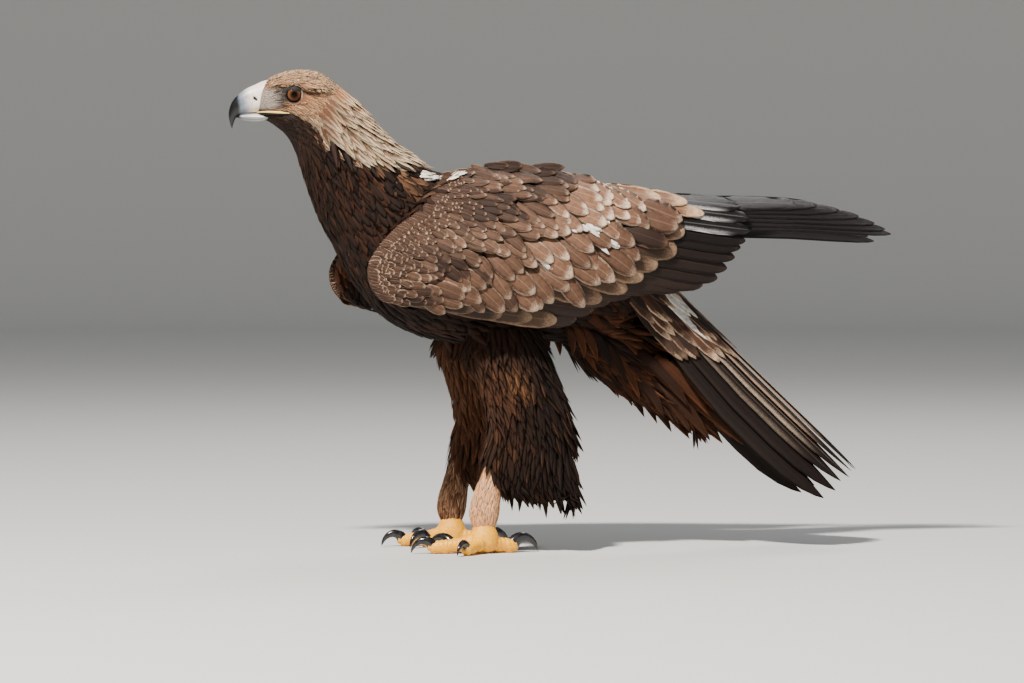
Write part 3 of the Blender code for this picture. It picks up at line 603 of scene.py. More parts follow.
# %% Unwrapping the skin
skin.data.uv_layers.new(name="OFBake")
bpy.ops.object.mode_set(mode="EDIT")
bpy.ops.mesh.select_all(action="SELECT")
bpy.ops.uv.smart_project(angle_limit=math.radians(66), island_margin=0.002)
bpy.ops.object.mode_set(mode="OBJECT")
surface = bmesh.new()
surface.from_mesh(skin.data)
skin_tree = BVHTree.FromBMesh(surface)
surface.free()
loop_uv = np.zeros(len(skin.data.loops) * 2, np.float32)
skin.data.uv_layers["OFBake"].data.foreach_get("uv", loop_uv)
loop_start = np.zeros(len(skin.data.polygons), np.int32)
skin.data.polygons.foreach_get("loop_start", loop_start)
face_uv = loop_uv.reshape(-1, 2)[loop_start]


def nearest(point):
    """The skin nearest to a point in millimetres: place, normal, face and distance."""
    return skin_tree.find_nearest(Vector(point * MM + SHIFT))


print("unwrapped", len(face_uv), "faces")

# %% [markdown]
# Colours are mixed from a few named feather colours, by where a feather grows. The same
# function paints the skin and the feathers, so no bare patch shows between them.

# %% The bird's colours
CREAM = srgb(255, 232, 196)
GOLD = srgb(246, 196, 144)
GOLD_MIDDLE = srgb(88, 52, 32)
CROWN_MIDDLE = srgb(166, 110, 72)
DARK = srgb(38, 24, 18)
BLACKISH = srgb(22, 14, 11)
RUFOUS = srgb(86, 50, 30)
BREAST = srgb(50, 29, 19)
LORES = srgb(206, 188, 174)
BUFF = srgb(214, 172, 134)
SCALE_EDGE = srgb(224, 188, 160)
WHITE = srgb(255, 250, 244)
# where the gold ends, as seen from the side: along the bird and height
GOLD_LINE = [(-310, 522), (-272, 515), (-256, 512), (-240, 507), (-228, 496), (-219, 477),
             (-206, 458), (-170, 448), (-120, 448), (-97, 452), (40, 440)]


def blended(amount, one, other):
    amount = np.clip(np.asarray(amount, float), 0, 1)[..., None]
    return np.asarray(one) * (1 - amount) + np.asarray(other) * amount


def above_gold(points):
    """Height over the line where the gold ends, in millimetres."""
    line = np.array(GOLD_LINE, float)
    along = points[..., 0] * math.cos(TURN) - np.abs(points[..., 1]) * math.sin(TURN)
    return points[..., 2] - np.interp(along, line[:, 0], line[:, 1])


def coat_colours(points, luck):
    """(middle, edge) of the feathers that end at these points, in millimetres."""
    x, y, z = points[..., 0], points[..., 1], points[..., 2]
    middle = blended(luck * 1.2 - 0.1, BLACKISH, BREAST)
    edge = blended(luck * 1.6 - 0.7, DARK, RUFOUS)
    # warm brown on the lower breast, on the wrist's inner side and here and there
    wrist = np.clip((np.abs(y) - 80) / 20, 0, 1) * (x < -110) * np.clip((385 - z) / 20, 0, 1)
    warm = np.clip((300 - z) / 60, 0, 1) * 0.25 + np.clip((luck - 0.75) * 2.5, 0, 0.6) + wrist
    edge = blended(warm, edge, RUFOUS)
    middle = blended(wrist, middle, srgb(84, 48, 30))
    edge = blended(wrist, edge, srgb(150, 94, 60))
    # loose tan feathers on the side of the neck, over the wing's shoulder
    nape_side = np.clip(1 - np.hypot((x + 128) / 46, (z - 436) / 30), 0, 1) * (np.abs(y) > 30)
    edge = blended(nape_side * (luck > 0.45) * 1.6, edge, srgb(176, 132, 98))
    middle = blended(nape_side * (luck > 0.6), middle, srgb(116, 80, 58))
    # mid brown on the back and the rump
    back = np.clip((z - 400) / 40, 0, 1) * np.clip((x + 120) / 60, 0, 1)
    middle = blended(back * 0.8, middle, srgb(62, 43, 34))
    edge = blended(back * 0.8, edge, srgb(124, 92, 72))
    # nearly black under the belly: partly its dark plumage, partly painted shade on the underside
    belly_and_shade = np.clip((305 - z) / 40, 0, 1) * (x < 80) * 0.9
    middle, edge = blended(belly_and_shade, middle, BLACKISH), blended(belly_and_shade, edge, BLACKISH)
    # the thighs, rufous in front and nearly black behind
    leg = ((z < 262) & (np.abs(y) > 28) & (x < 95))[..., None]
    front = np.clip((-x + 26) / 56, 0, 1) * np.clip(1.2 - np.abs(z - 180) / 100, 0, 1)
    tan = np.clip(1.2 - np.hypot((x + 10) / 24, (z - 190) / 24), 0, 1) * (luck > 0.4) * (y < 0)
    # painted light: the far thigh is made lighter and more rufous where it lies in the near thigh's shadow
    far = (y > 0) * 1.1 * np.clip((250 - z) / 60, 0, 1)
    middle = np.where(leg, blended(front * 0.7 + far * 0.6, BLACKISH, srgb(78, 48, 32)), middle)
    top = np.clip((z - 205) / 40, 0, 1)
    rufous = front * 0.8 + far + (luck - 0.8) * 2 - top
    edge = np.where(leg, blended(rufous, srgb(44, 29, 22), srgb(122, 78, 52)), edge)
    edge = np.where(leg, blended(tan, edge, srgb(158, 108, 72)), edge)
    # under the tail, rufous with darker middles
    under = ((x > 96) & (z < 275))[..., None]
    middle = np.where(under, blended(luck, BLACKISH, srgb(72, 38, 20)), middle)
    edge = np.where(under, blended(luck * 1.6 - 0.6, srgb(48, 29, 20), srgb(118, 72, 44)), edge)
    # gold on the crown, the cheeks and the nape
    gold = np.clip(above_gold(points) / 7 + 0.5 + (luck - 0.5) * 0.7, 0, 1) * (x < -60)
    crown = np.clip((z - 500) / 40, 0, 1)
    middle = blended(gold, middle, blended(crown, GOLD_MIDDLE, CROWN_MIDDLE))
    pale = 1 - crown * 0.2 + (luck - 0.6) * 0.8
    edge = blended(gold, edge, blended(pale, GOLD, CREAM))
    cheek = np.clip((540 - z) / 10, 0, 1) * (x < -225) * np.clip((z - 500) / 8, 0, 1)
    edge = blended(gold * cheek * 0.7, edge, srgb(218, 168, 126))
    # single brown feathers that streak the crown
    streaked = gold * (luck > 0.66) * crown
    middle = blended(streaked, middle, srgb(72, 44, 30))
    edge = blended(streaked * 0.5, edge, srgb(150, 102, 70))
    # a dark line under the brow, painted shade where the brow's shadow falls, and grey between the eye and
    # the bill
    over = z - np.interp(x, BROW[:, 0], BROW[:, 1])
    line = np.exp(-(((over + 5) / 3) ** 2)) * (x < -222) * (x > -290) * (np.abs(y) > 14)
    middle, edge = blended(line * 0.9, middle, DARK), blended(line * 0.75, edge, srgb(84, 54, 38))
    lores = np.clip((-269 - x) / 4, 0, 1) * np.clip((z - 517) / 3, 0, 1) * np.clip((545 - z) / 7, 0, 1)
    near_eye = np.clip((x + 288) / 10 + (luck - 0.5) * 0.6, 0, 1)
    grey = blended(near_eye, LORES, srgb(78, 66, 60))
    middle, edge = blended(lores, middle, grey * 0.7), blended(lores, edge, grey)
    # painted shade: the crease at the corner of the mouth, painted nearly black
    mouth = ((np.abs(z - 512) < 2.2) & (x < -268))[..., None]
    return np.where(mouth, BLACKISH, middle), np.where(mouth, BLACKISH, edge)


points = read_places(skin.data.vertices, "co")
middle, _ = coat_colours(points, np.full(len(points), 0.4))
paint = skin.data.attributes.new("middle", "FLOAT_COLOR", "POINT")
paint.data.foreach_set("color", np.c_[middle * 0.7, np.ones(len(points))].astype(np.float32).ravel())

skin_look = Finish("feather_down", Roughness=0.85)
down = skin_look.noise(900, 4)
skin_look.colour(
    skin_look.mix(down.step(0.3, 0.8), skin_look.attribute("middle"), (0.02, 0.014, 0.01, 1))
)
skin_look.relief(down, 0.6, 0.001)
select_only(skin)
settle_piece(
    "skin", skin_look.material,
    ["head", "neck", "torso", "undertail_coverts", "thigh_left", "thigh_right", "tarsus_left",
     "tarsus_right", "wing_arm_left", "wing_arm_right"],
)
print("skin painted")

# %% [markdown]
# A feather here is a thin closed lens: a few rings across the vane, joined from root to
# tip. Thousands are woven at once from arrays. Each carries its own middle and edge
# colours, a map called Vane that tells across and along, and the baking patch.

# %% Weaving vanes
SIDES = ((-1, "left"), (1, "right"))
VANE_THICKNESS = 0.35
BAKE_PATCH = 0.003
grown = []


def chances(seed, count):
    return np.random.default_rng(seed).uniform(0, 1, count)


def traits_of(luck, paleness=0.0, turned=0.0):
    """What a finish reads from each feather: its wear, its paleness, its turned side."""
    return np.stack(np.broadcast_arrays(luck, paleness, turned), -1)


def turned_over(rings, columns):
    """The rings of mirrored feathers, again from their left edge over the top."""
    return np.roll(rings[:, :, ::-1], columns, axis=2)


def woven(name, rings, stations, look, colours, traits, roots=None, hides=()):
    """One mesh of many feathers. rings is (feathers, stations, ring points, 3) in
    millimetres. Three points are two edges and the shaft. More run over the top from edge
    to edge and back below it, without the edges."""
    count, steps, around = rings.shape[:3]
    top = 3 if around == 3 else around // 2 + 1
    points = rings.reshape(-1, 3) * MM + SHIFT
    grid = np.arange(steps * around).reshape(steps, around)
    faces = []
    for step in range(steps - 1):
        for side in range(around):
            after = (side + 1) % around
            a, b = grid[step, side], grid[step, after]
            c, d = grid[step + 1, after], grid[step + 1, side]
            faces += [(a, b, c), (a, c, d)]
    for side in range(1, around - 1):
        faces.append((grid[0, 0], grid[0, side + 1], grid[0, side]))
        faces.append((grid[-1, 0], grid[-1, side], grid[-1, side + 1]))
    faces = np.array(faces)
    centred = rings.reshape(count, -1, 3) - rings.reshape(count, -1, 3).mean(axis=1, keepdims=True)
    corners = centred[:, faces]
    volume = np.einsum("fti,fti->f", corners[:, :, 0], np.cross(corners[:, :, 1], corners[:, :, 2]))
    faces = faces[None] + (np.arange(count) * steps * around)[:, None, None]
    faces[volume < 0] = faces[volume < 0][:, :, ::-1]
    faces = faces.reshape(-1)
    mesh = bpy.data.meshes.new(name)
    mesh.vertices.add(len(points))
    mesh.vertices.foreach_set("co", points.astype(np.float32).ravel())
    mesh.loops.add(len(faces))
    mesh.loops.foreach_set("vertex_index", faces.astype(np.int32))
    mesh.polygons.add(len(faces) // 3)
    mesh.polygons.foreach_set("loop_start", np.arange(0, len(faces), 3, dtype=np.int32))
    mesh.polygons.foreach_set("use_smooth", np.ones(len(faces) // 3, bool))
    mesh.update(calc_edges=True)
    across = np.concatenate([np.linspace(0, 1, top), np.linspace(1, 0, around - top + 2)[1:-1]])
    vane = np.zeros((count, steps, around, 2))
    vane[..., 0] = across
    vane[..., 1] = np.asarray(stations)[None, :, None]
    vane = vane.reshape(-1, 2)
    mesh.uv_layers.new(name="Vane").data.foreach_set("uv", vane[faces].astype(np.float32).ravel())
    if roots is not None:
        base = np.repeat(roots, steps * around, axis=0)
        patch = base + (vane - (0.5, 0.0)) * BAKE_PATCH
        layer = mesh.uv_layers.new(name="OFBake")
        layer.data.foreach_set("uv", patch[faces].astype(np.float32).ravel())
    for key, values in zip(("middle", "edge", "trait"), (*colours, traits)):
        values = np.repeat(np.c_[values, np.ones(count)], steps * around, axis=0)
        layer = mesh.attributes.new(key, "FLOAT_COLOR", "POINT")
        layer.data.foreach_set("color", values.astype(np.float32).ravel())
    piece = bpy.data.objects.new(name, mesh)
    bpy.context.scene.collection.objects.link(piece)
    bpy.context.view_layer.objects.active = piece
    grown.append(rings[:, 0].mean(axis=1))
    print(name, count, "feathers", len(faces) // 3, "triangles")
    return settle_piece(name, look, hides)


def lens(spine, side, up, half_width, profile, camber):
    """Rings of edge, shaft and edge along many spines: (feathers, stations, points, 3)."""
    width = half_width[:, None] * profile[None, :]
    bow = camber * width
    rings = []
    for value in (-1.0, 0.0, 1.0):
        lift = bow * (1 - value * value) - bow * 0.5
        rings.append(spine + side * (width * value)[..., None] + up * lift[..., None])
    return np.stack(rings, axis=2)


def rise_along(stations, rises):
    """Height over the skin along a feather, from four heights between root and tip."""
    return np.interp(stations, (0, 0.3, 0.7, 1), rises)


def on_skin(starts, directions, lengths, stations, rises, follow, droop):
    """Walks each feather over the skin. Past the part named follow it goes straight on."""
    count, steps = len(starts), len(stations)
    spine, ahead, normals = (np.zeros((count, steps, 3)) for _ in range(3))
    faces = np.zeros(count, int)
    for index in range(count):
        place, normal, faces[index], _ = nearest(starts[index])
        heading = Vector(directions[index])
        heading -= normal * heading.dot(normal)
        heading.normalize()
        spine[index, 0] = place
        ahead[index, 0] = heading
        normals[index, 0] = normal
        for step in range(1, steps):
            part = stations[step] - stations[step - 1]
            place = place + heading * float(lengths[index] * part * MM)
            if stations[step] <= follow:
                place, normal, _, _ = skin_tree.find_nearest(place)
            heading = heading - normal * heading.dot(normal)
            heading.z -= droop * part
            heading.normalize()
            spine[index, step] = place
            ahead[index, step] = heading
            normals[index, step] = normal
    lift = rise_along(stations, rises)[None, :] * (lengths / lengths.mean())[:, None]
    spine = (spine - SHIFT) / MM + normals * lift[..., None]
    side = np.cross(ahead, normals)
    side /= np.linalg.norm(side, axis=-1, keepdims=True)
    return spine, side, normals, faces


# where the stations lie from root to tip, and the part of the full width there
CONTOUR = ([0, 0.25, 0.5, 0.75, 0.92, 1], [0.35, 0.85, 1.0, 0.8, 0.42, 0.06])
HACKLE = ([0, 0.25, 0.5, 0.75, 0.9, 1], [0.6, 1.0, 0.9, 0.6, 0.3, 0.03])
SMALL = ([0, 0.35, 0.7, 1], [0.6, 1.0, 0.7, 0.06])
COVERT = ([0, 0.2, 0.45, 0.68, 0.84, 0.94, 1], [0.4, 0.78, 1.0, 0.97, 0.76, 0.46, 0.08])


def rows_over(surface, first, last, spacing, gap, seed, reach=None):
    """Roots in staggered rows round a form, the way the feathers point and their places
    on the form. Roots that lie further than reach from the skin are left out."""
    draw = np.random.default_rng(seed)
    turns = np.linspace(0, 2 * np.pi, 121)
    rows = []
    place = last
    step_sign = -1 if last > first else 1
    while (place - first) * -step_sign > 0:
        ring = surface(np.full(120, place), turns[:-1])
        sizes = np.linalg.norm(np.roll(ring, -1, axis=0) - ring, axis=1)
        total = sizes.sum()
        count = max(int(total / gap), 3)
        stagger = 0.5 * (len(rows) % 2)
        wanted = (np.arange(count) + stagger + draw.uniform(-0.22, 0.22, count)) * total / count
        turn = np.interp(wanted % total, np.concatenate([[0], np.cumsum(sizes)]), turns)
        at = place + draw.uniform(-0.2, 0.2, count) * 0.2
        here = surface(at, turn)
        ahead = surface(at + 0.1 * step_sign, turn) - here
        ahead = ahead / np.linalg.norm(ahead, axis=1, keepdims=True)
        rows.append((here, ahead, np.stack([at, turn], -1)))
        next_ring = surface(np.full(120, place + 0.1 * step_sign), turns[:-1])
        place += step_sign * spacing / (np.linalg.norm(next_ring - ring, axis=1).mean() * 10)
    roots, headings, places = (np.concatenate(part) for part in zip(*rows))
    if reach is not None:
        keep = np.array([nearest(root)[3] < reach * MM for root in roots])
        roots, headings, places = roots[keep], headings[keep], places[keep]
    return roots, headings, places


def coat(name, look, roots, headings, lengths, widths, shape, rises, seed, follow=1.0,
         droop=0.0, camber=0.25, colours=None, fringe=0.5, sway=0.12):
    """Grows feathers on the skin and weaves them into one piece."""
    draw = np.random.default_rng(seed)
    lying = [abs(nearest(root)[1].dot(Vector(ahead))) < 0.75 for root, ahead in zip(roots, headings)]
    lengths, widths = (np.broadcast_to(size, len(roots))[lying] for size in (lengths, widths))
    roots, headings = roots[lying], headings[lying]
    count = len(roots)
    stations, profile = np.array(shape[0], float), np.array(shape[1], float)
    headings = headings + np.cross(headings, draw.normal(size=(count, 3))) * sway
    lengths = lengths * draw.uniform(0.85, 1.15, count)
    widths = widths * draw.uniform(0.88, 1.12, count)
    spine, side, up, faces = on_skin(roots, headings, lengths, stations, rises, follow, droop)
    rings = lens(spine, side, up, widths, profile, camber)
    luck = draw.uniform(0, 1, count)
    middle, edge = (colours or coat_colours)(spine[:, -2], luck)
    tone = (0.86 + 0.28 * draw.uniform(0, 1, count))[:, None]
    traits = traits_of(luck, fringe, draw.uniform(0, 1, count))
    woven(name, rings, stations, look, (middle * tone, edge * tone), traits, face_uv[faces])


# %% [markdown]
# Plumage takes its two colours from the feather and adds what a vane has: a shaft, fine
# barbs that slope away from it, a fringe where the edge colour begins, and a soft
# mottling that keeps two neighbours from looking alike.

# %% Plumage
# one wave of the barbs' sine
WAVE = 6.283


def plumage(name, roughness, fringe_start, shaft, barbs, mottle, streak=0.0, gloss=0.2, stripe=None):
    """The finish of one kind of feather. With a stripe the pale edge lies along one side
    only, and ends at that part of the length."""
    made = Finish(name, Roughness=roughness, Specular_IOR_Level=gloss)
    across, along = made.vane()
    side = (across * 2 - 1).size()
    worn, paleness, turned = made.split(made.attribute("trait", "Vector"))
    if stripe:
        away = across * (1 - turned * 2) + turned
    elif streak:
        away = side * (1 - streak) + along * streak
    else:
        away = side.larger((along - 0.08) * 1.05)
    ragged = made.noise(650) - 0.5
    fringe = (away + ragged * 0.3 + paleness * 0.35).step(fringe_start, 0.98)
    if stripe:
        fringe = fringe * (1 - along.step(stripe - 0.22, stripe))
    slope = (along * barbs + side * barbs * 0.16) * WAVE
    lines = slope.wave() * 0.5 + 0.5
    cloud = made.noise(210)
    base = made.mix(fringe, made.attribute("middle"), made.attribute("edge"))
    base = made.mix(cloud.step(0.35, 0.75) * mottle, base, (0.018, 0.012, 0.009, 1))
    base = made.mix(lines * (0.08 + mottle * 0.45) + worn * 0.08, base, (0.01, 0.007, 0.006, 1))
    quill = 1 - side.step(0.02, 0.09)
    made.colour(made.mix(quill * shaft, base, made.attribute("edge")))
    made.relief(lines * 0.4 + quill * 0.8, 0.6, 0.0006)
    return made.material


body_look = plumage("body_feathers", 0.75, 0.62, 0.1, 22, 0.3, streak=0.35, gloss=0.12)
gold_look = plumage("golden_hackles", 0.66, 0.44, 0.05, 18, 0.05, streak=0.45)
covert_look = plumage("wing_coverts", 0.6, 0.78, 0.12, 30, 0.4)
flight_look = plumage("flight_feathers", 0.42, 0.92, 0.2, 90, 0.2, gloss=0.16)
glossy_look = plumage("glossy_tertials", 0.36, 0.66, 0.1, 90, 0.1, gloss=0.3, stripe=0.9)
tail_look = plumage("tail_feathers", 0.52, 0.6, 0.3, 90, 0.3, gloss=0.1, stripe=0.88)
leg_look = plumage("leg_feathers", 0.78, 0.5, 0.1, 26, 0.3, streak=0.4, gloss=0.12)
print("plumage ready")

# %% [markdown]
# The body's small feathers grow in staggered rows that run round the trunk and point to
# the tail. Narrow ones clothe the neck, and gold-tipped hackles lie over them on the nape.

# %% Body and neck feathers


def trunk_surface(place, turn):
    return body_place(place, turn, 4.0)


roots, headings, _ = rows_over(trunk_surface, 0.2, 8.6, 8.5, 9.0, 11, reach=5)
coat("body_feathers", body_look, roots, headings, 34.0, 6.6, CONTOUR,
     (0.2, 1.6, 3.2, 4.2), 12, sway=0.2)

roots, headings, _ = rows_over(trunk_surface, 7.6, 11.4, 6.5, 5.6, 13, reach=5)
dark = above_gold(roots) < 22
coat("neck_feathers", body_look, roots[dark], headings[dark], 30.0, 4.0,
     HACKLE, (0.2, 1.4, 2.6, 3.4), 14, sway=0.2)
roots, headings, _ = rows_over(trunk_surface, 7.3, 11.8, 8.5, 6.6, 15)
over = above_gold(roots)
gilt = over > 18
length = np.interp(over[gilt], [18, 60], [42, 36])
coat("nape_hackles", gold_look, roots[gilt], headings[gilt], length, 4.8,
     HACKLE, (0.3, 2.6, 5.4, 7.6), 16, camber=0.35, fringe=0.45, sway=0.2)

# %% [markdown]
# The head's feathers are the smallest. They get longer from the bill to the nape, and
# only thin bristles grow between the bill and the eye.

# %% Head feathers


def head_surface(place, turn):
    return body_place(place, turn, 1.6)


def clear_of_face(points):
    """False on the eyes, on the bare corner of the mouth and where the bill grows."""
    x, y, z = points[:, 0], np.abs(points[:, 1]), points[:, 2]
    eye = (((x - EYE[0]) / EYE_RADIUS) ** 2 + ((z - EYE[2] + 1) / 9.5) ** 2 < 1) & (y > 15)
    mouth = (x < -268) & (z < 517) & (z > 511)
    bill = np.interp(z, [510, 512, 516, 522, 535, 550], [-299, -291, -293, -297, -299, -301])
    return ~eye & ~mouth & (x > bill)


roots, headings, where = rows_over(head_surface, 11.0, 16.95, 2.6, 2.6, 17)
bristle = (roots[:, 0] < -273) & (roots[:, 2] < 544) & (roots[:, 2] > 516)
thinned = chances(18, len(roots)) < np.where(bristle, 0.55, 1.0)
keep = clear_of_face(roots) & thinned
length = np.interp(where[keep, 0], [11, 12.5, 14.5, 16], [24, 17, 11, 6.5])
width = np.where(bristle[keep], 0.5, length * 0.085 + 0.5)
coat("head_feathers", gold_look, roots[keep], headings[keep], length, width, SMALL,
     (0.1, 0.6, 1.1, 1.6), 18)

# %% [markdown]
# The folded wing is laid as a bird's is: tiny scale-like feathers along its front edge,
# then larger and larger coverts, each row's tips over the roots of the next. A few guides
# read from the photograph tell how the feathers point and how large they are, and the
# roots between them are scattered so that none sits on another.

# %% Wing coverts
# place in the photograph, slope below level, length and half-width in millimetres
GUIDES = np.array([
    (444, 180, 4, 11, 3.0), (431, 203, 24, 11, 3.1), (408, 224, 36, 11, 3.1),
    (389, 243, 32, 11, 3.2), (376, 265, 14, 11, 3.3), (377, 286, 8, 12, 3.6), (392, 303, 8, 18, 5.0),
    (446, 208, 18, 16, 3.6), (424, 230, 32, 16, 3.8), (403, 250, 26, 16, 4.0), (393, 275, 12, 17, 4.4),
    (458, 222, 24, 25, 5.0), (438, 245, 32, 26, 5.6), (420, 262, 22, 27, 6.0), (408, 288, 10, 28, 6.6),
    (470, 236, 34, 34, 6.6), (446, 258, 34, 38, 8.0), (434, 282, 22, 44, 9.6),
    (472, 186, 6, 28, 3.8), (506, 184, 10, 31, 4.8), (545, 182, 16, 36, 7), (500, 210, 20, 32, 5.6),
    (540, 205, 28, 38, 8), (580, 190, 30, 44, 10), (600, 205, 38, 46, 11),
    (500, 235, 36, 40, 8.6), (540, 230, 38, 44, 9.8), (570, 225, 38, 46, 11), (600, 225, 35, 50, 12),
    (470, 270, 48, 52, 11.4), (500, 270, 50, 58, 12.4), (530, 268, 46, 60, 12.6), (560, 258, 38, 60, 13),
    (590, 245, 32, 60, 13), (620, 230, 22, 62, 14), (636, 212, 14, 64, 14),
    (470, 172, 3, 34, 4.6), (520, 170, 4, 38, 6), (560, 176, 10, 42, 7.5), (600, 190, 24, 48, 10),
], float)
# the area where coverts are rooted, as seen in the photograph
WING_AREA = np.array([
    (446, 176), (436, 200), (420, 218), (400, 233), (385, 250), (374, 268), (376, 285),
    (386, 299), (404, 306), (430, 300), (455, 290), (480, 282), (520, 282), (556, 266),
    (585, 248), (612, 232), (626, 218), (636, 203), (622, 194), (595, 184), (560, 174),
    (500, 165), (462, 168),
], float)
# the wing's front edge in the photograph, where the first row is rooted
RIM = np.array([
    (444, 176), (432, 200), (416, 217), (397, 232), (382, 249), (372, 267), (373, 285), (384, 300),
], float)
# where the coverts are darker or more bleached than the rest: place, reach and amount
SHADES = [
    (505, 212, 52, 18, -1.2), (520, 166, 90, 10, -1.6), (470, 182, 34, 9, -0.5), (572, 180, 26, 10, -1.1),
    (612, 192, 26, 9, 1.2), (655, 198, 44, 8, 1.6), (586, 228, 30, 18, 1.2), (560, 268, 34, 16, 0.6),
    (618, 218, 24, 14, 1.3), (510, 290, 44, 16, -0.3), (430, 302, 34, 9, -0.9), (462, 268, 24, 12, -1.2),
    (660, 250, 24, 24, -1.2), (600, 258, 22, 10, 0.6), (486, 250, 26, 12, 0.3), (412, 262, 20, 14, -0.6),
]
TRIES = 34000


def inside(area, px, py):
    found = np.zeros(len(px), bool)
    for (ax, ay), (bx, by) in zip(area, np.roll(area, -1, axis=0)):
        crosses = (ay > py) != (by > py)
        found ^= crosses & (px < (bx - ax) * (py - ay) / (by - ay + 1e-9) + ax)
    return found


def guided(px, py):
    """Slope, length and half-width at places between the guides."""
    away = (px[:, None] - GUIDES[:, 0]) ** 2 + (py[:, None] - GUIDES[:, 1]) ** 2
    weight = 1 / (away + 30) ** 1.6
    weight /= weight.sum(axis=1, keepdims=True)
    return (weight @ GUIDES[:, 2:]).T


def scattered(area, seed):
    """Places that keep their distance from each other by the size of their feathers."""
    draw = np.random.default_rng(seed)
    low, high = area.min(axis=0), area.max(axis=0)
    px = draw.uniform(low[0], high[0], TRIES)
    py = draw.uniform(low[1], high[1], TRIES)
    keep = inside(area, px, py)
    px, py = px[keep], py[keep]
    slope, length, width = guided(px, py)
    angle = np.radians(slope)
    chosen = []
    for index in range(len(px)):
        if chosen:
            dx = (px[chosen] - px[index]) * PIXEL
            dy = (py[chosen] - py[index]) * PIXEL
            along = dx * np.cos(angle[index]) + dy * np.sin(angle[index])
            across = -dx * np.sin(angle[index]) + dy * np.cos(angle[index])
            near = (along / (length[index] * 0.4)) ** 2 + (across / (width[index] * 0.92)) ** 2
            if near.min() < 1:
                continue
        chosen.append(index)
    return px[chosen], py[chosen], slope[chosen], length[chosen], width[chosen]


def on_wing_face(px, py):
    """Millimetres on the near wing for places in the photograph."""
    y = np.full(np.shape(px), -100.0)
    for _ in range(4):
        x, z = seen(px, py, y)
        y = -blade_depth(x, z)
    return x, z


def far_end(px, py, slope, length):
    """The tips of feathers in the picture from their roots, or with a negative length the
    roots from their tips."""
    angle = np.radians(slope)
    return px + length * np.cos(angle) / PIXEL, py + length * np.sin(angle) / PIXEL


def wing_vanes(x, z, slope, length, width, shape, rises, side, layer=0.0, lean=0.0, camber=0.12,
               columns=5, sweep=0.0):
    """Rings of feathers whose roots are at x, z on the wing's face."""
    stations, profile = (np.array(row, float)[None, :, None] for row in shape)
    across = np.linspace(-1, 1, columns)[None, None, :]
    angle = np.radians(slope)[:, None, None]
    along = length[:, None, None] * stations
    width, sweep, lean = (np.broadcast_to(v, length.shape)[:, None, None] for v in (width, sweep, lean))
    reach = width * profile * across
    bent = reach + sweep * stations ** 2
    px = x[:, None, None] + along * np.cos(angle) - bent * np.sin(angle)
    pz = z[:, None, None] - along * np.sin(angle) - bent * np.cos(angle)
    scale = (length / length.mean())[:, None, None]
    bow = camber * width * profile * (1 - across ** 2)
    out = rise_along(stations, rises) * scale + bow + lean * reach / width
    depth = blade_depth(px, pz) - layer
    upper = np.stack([px, -(depth + out), pz], -1)
    lower = np.stack([px, -(depth + out - VANE_THICKNESS), pz], -1)[:, :, 1:-1][:, :, ::-1]
    rings = np.concatenate([upper, lower], axis=2)
    return turned_over(on_its_side(rings, side, FAR_WING), columns) if side > 0 else rings


def near_skin(rings):
    """Where on the unwrapped skin each feather grows."""
    return face_uv[[nearest(p)[2] for p in rings[:, 0, 0]]]


def bleached(px, py):
    amount = np.zeros(len(px))
    for cx, cy, wide, high, value in SHADES:
        amount += value * np.exp(-(((px - cx) / wide) ** 2) - ((py - cy) / high) ** 2)
    return amount


# one more row lies right on the front edge, from the shoulder to the lowest point
rim = curve_through(RIM, np.linspace(0, len(RIM) - 1, 60)).T
px, py, slope, length, width = np.concatenate([scattered(WING_AREA, 21), (*rim, *guided(*rim))], axis=1)
draw = np.random.default_rng(22)
slope = slope + draw.normal(0, 8, len(slope))
length = length * draw.uniform(0.88, 1.15, len(slope))
width = width * draw.uniform(0.88, 1.1, len(slope))
luck = draw.uniform(0, 1, len(px))
pale = bleached(*far_end(px, py, slope, length)) + (luck - 0.5) * 1.1
small = np.clip((30 - length) / 15, 0, 1)
middle = blended(0.45 + pale * 0.5, srgb(44, 28, 21), srgb(140, 100, 76))
middle = blended(small * 0.8, middle, srgb(64, 42, 31))
edge = blended(0.5 + pale * 0.5, srgb(112, 82, 64), srgb(244, 212, 184))
edge = blended(small * 0.8, edge, SCALE_EDGE)
traits = traits_of(luck, np.clip(pale, 0, 1) * 0.32 - small * 0.05)
lean = draw.normal(0, 0.9, len(px)) * np.clip(width / 9, 0.2, 1)
x, z = on_wing_face(px, py)
for side, label in SIDES:
    rings = wing_vanes(x, z, slope, length, width, COVERT, (-2.0, 0.8, 2.4, 3.4), side, lean=lean,
                       camber=0.16)
    woven("wing_coverts_" + label, rings, COVERT[0], covert_look, (middle, edge),
          traits, near_skin(rings))

# %% [markdown]
# Large feathers are few enough to be placed one by one, by their tips in the photograph:
# the greater coverts and tertials with pale edges, and the dark ones along the lower rim.

# %% Great coverts and tertials
# tip in the photograph, slope, length, half-width and how dark
GREAT = np.array([
    (430, 300, 14, 50, 10, 0.8), (452, 304, 12, 62, 10, 0.9), (478, 310, 10, 76, 10, 0.95),
    (505, 316, 9, 88, 10, 0.95), (535, 319, 8, 98, 11, 0.85), (560, 322, 7, 104, 12, 0.75),
    (457, 290, 32, 52, 12, 0.3), (476, 297, 50, 60, 13, 0.25), (506, 314, 58, 74, 12, 0.35),
    (522, 306, 55, 68, 14, 0.25), (549, 296, 42, 66, 14, 0.25), (573, 284, 40, 64, 15, 0.25),
    (598, 262, 34, 62, 13, 0.2), (583, 300, 24, 84, 13, 0.7), (606, 302, 20, 100, 13, 0.75),
    (632, 292, 18, 104, 13, 0.7), (648, 280, 18, 104, 14, 0.5), (662, 268, 17, 100, 15, 0.75),
    (681, 254, 15, 108, 17, 0.85), (688, 234, 12, 100, 15, 0.7), (660, 226, 16, 84, 13, 0.9),
    (706, 215, 12, 104, 9, 0.0), (690, 203, 9, 92, 9, 0.0), (664, 199, 10, 80, 9, 0.0),
], float)
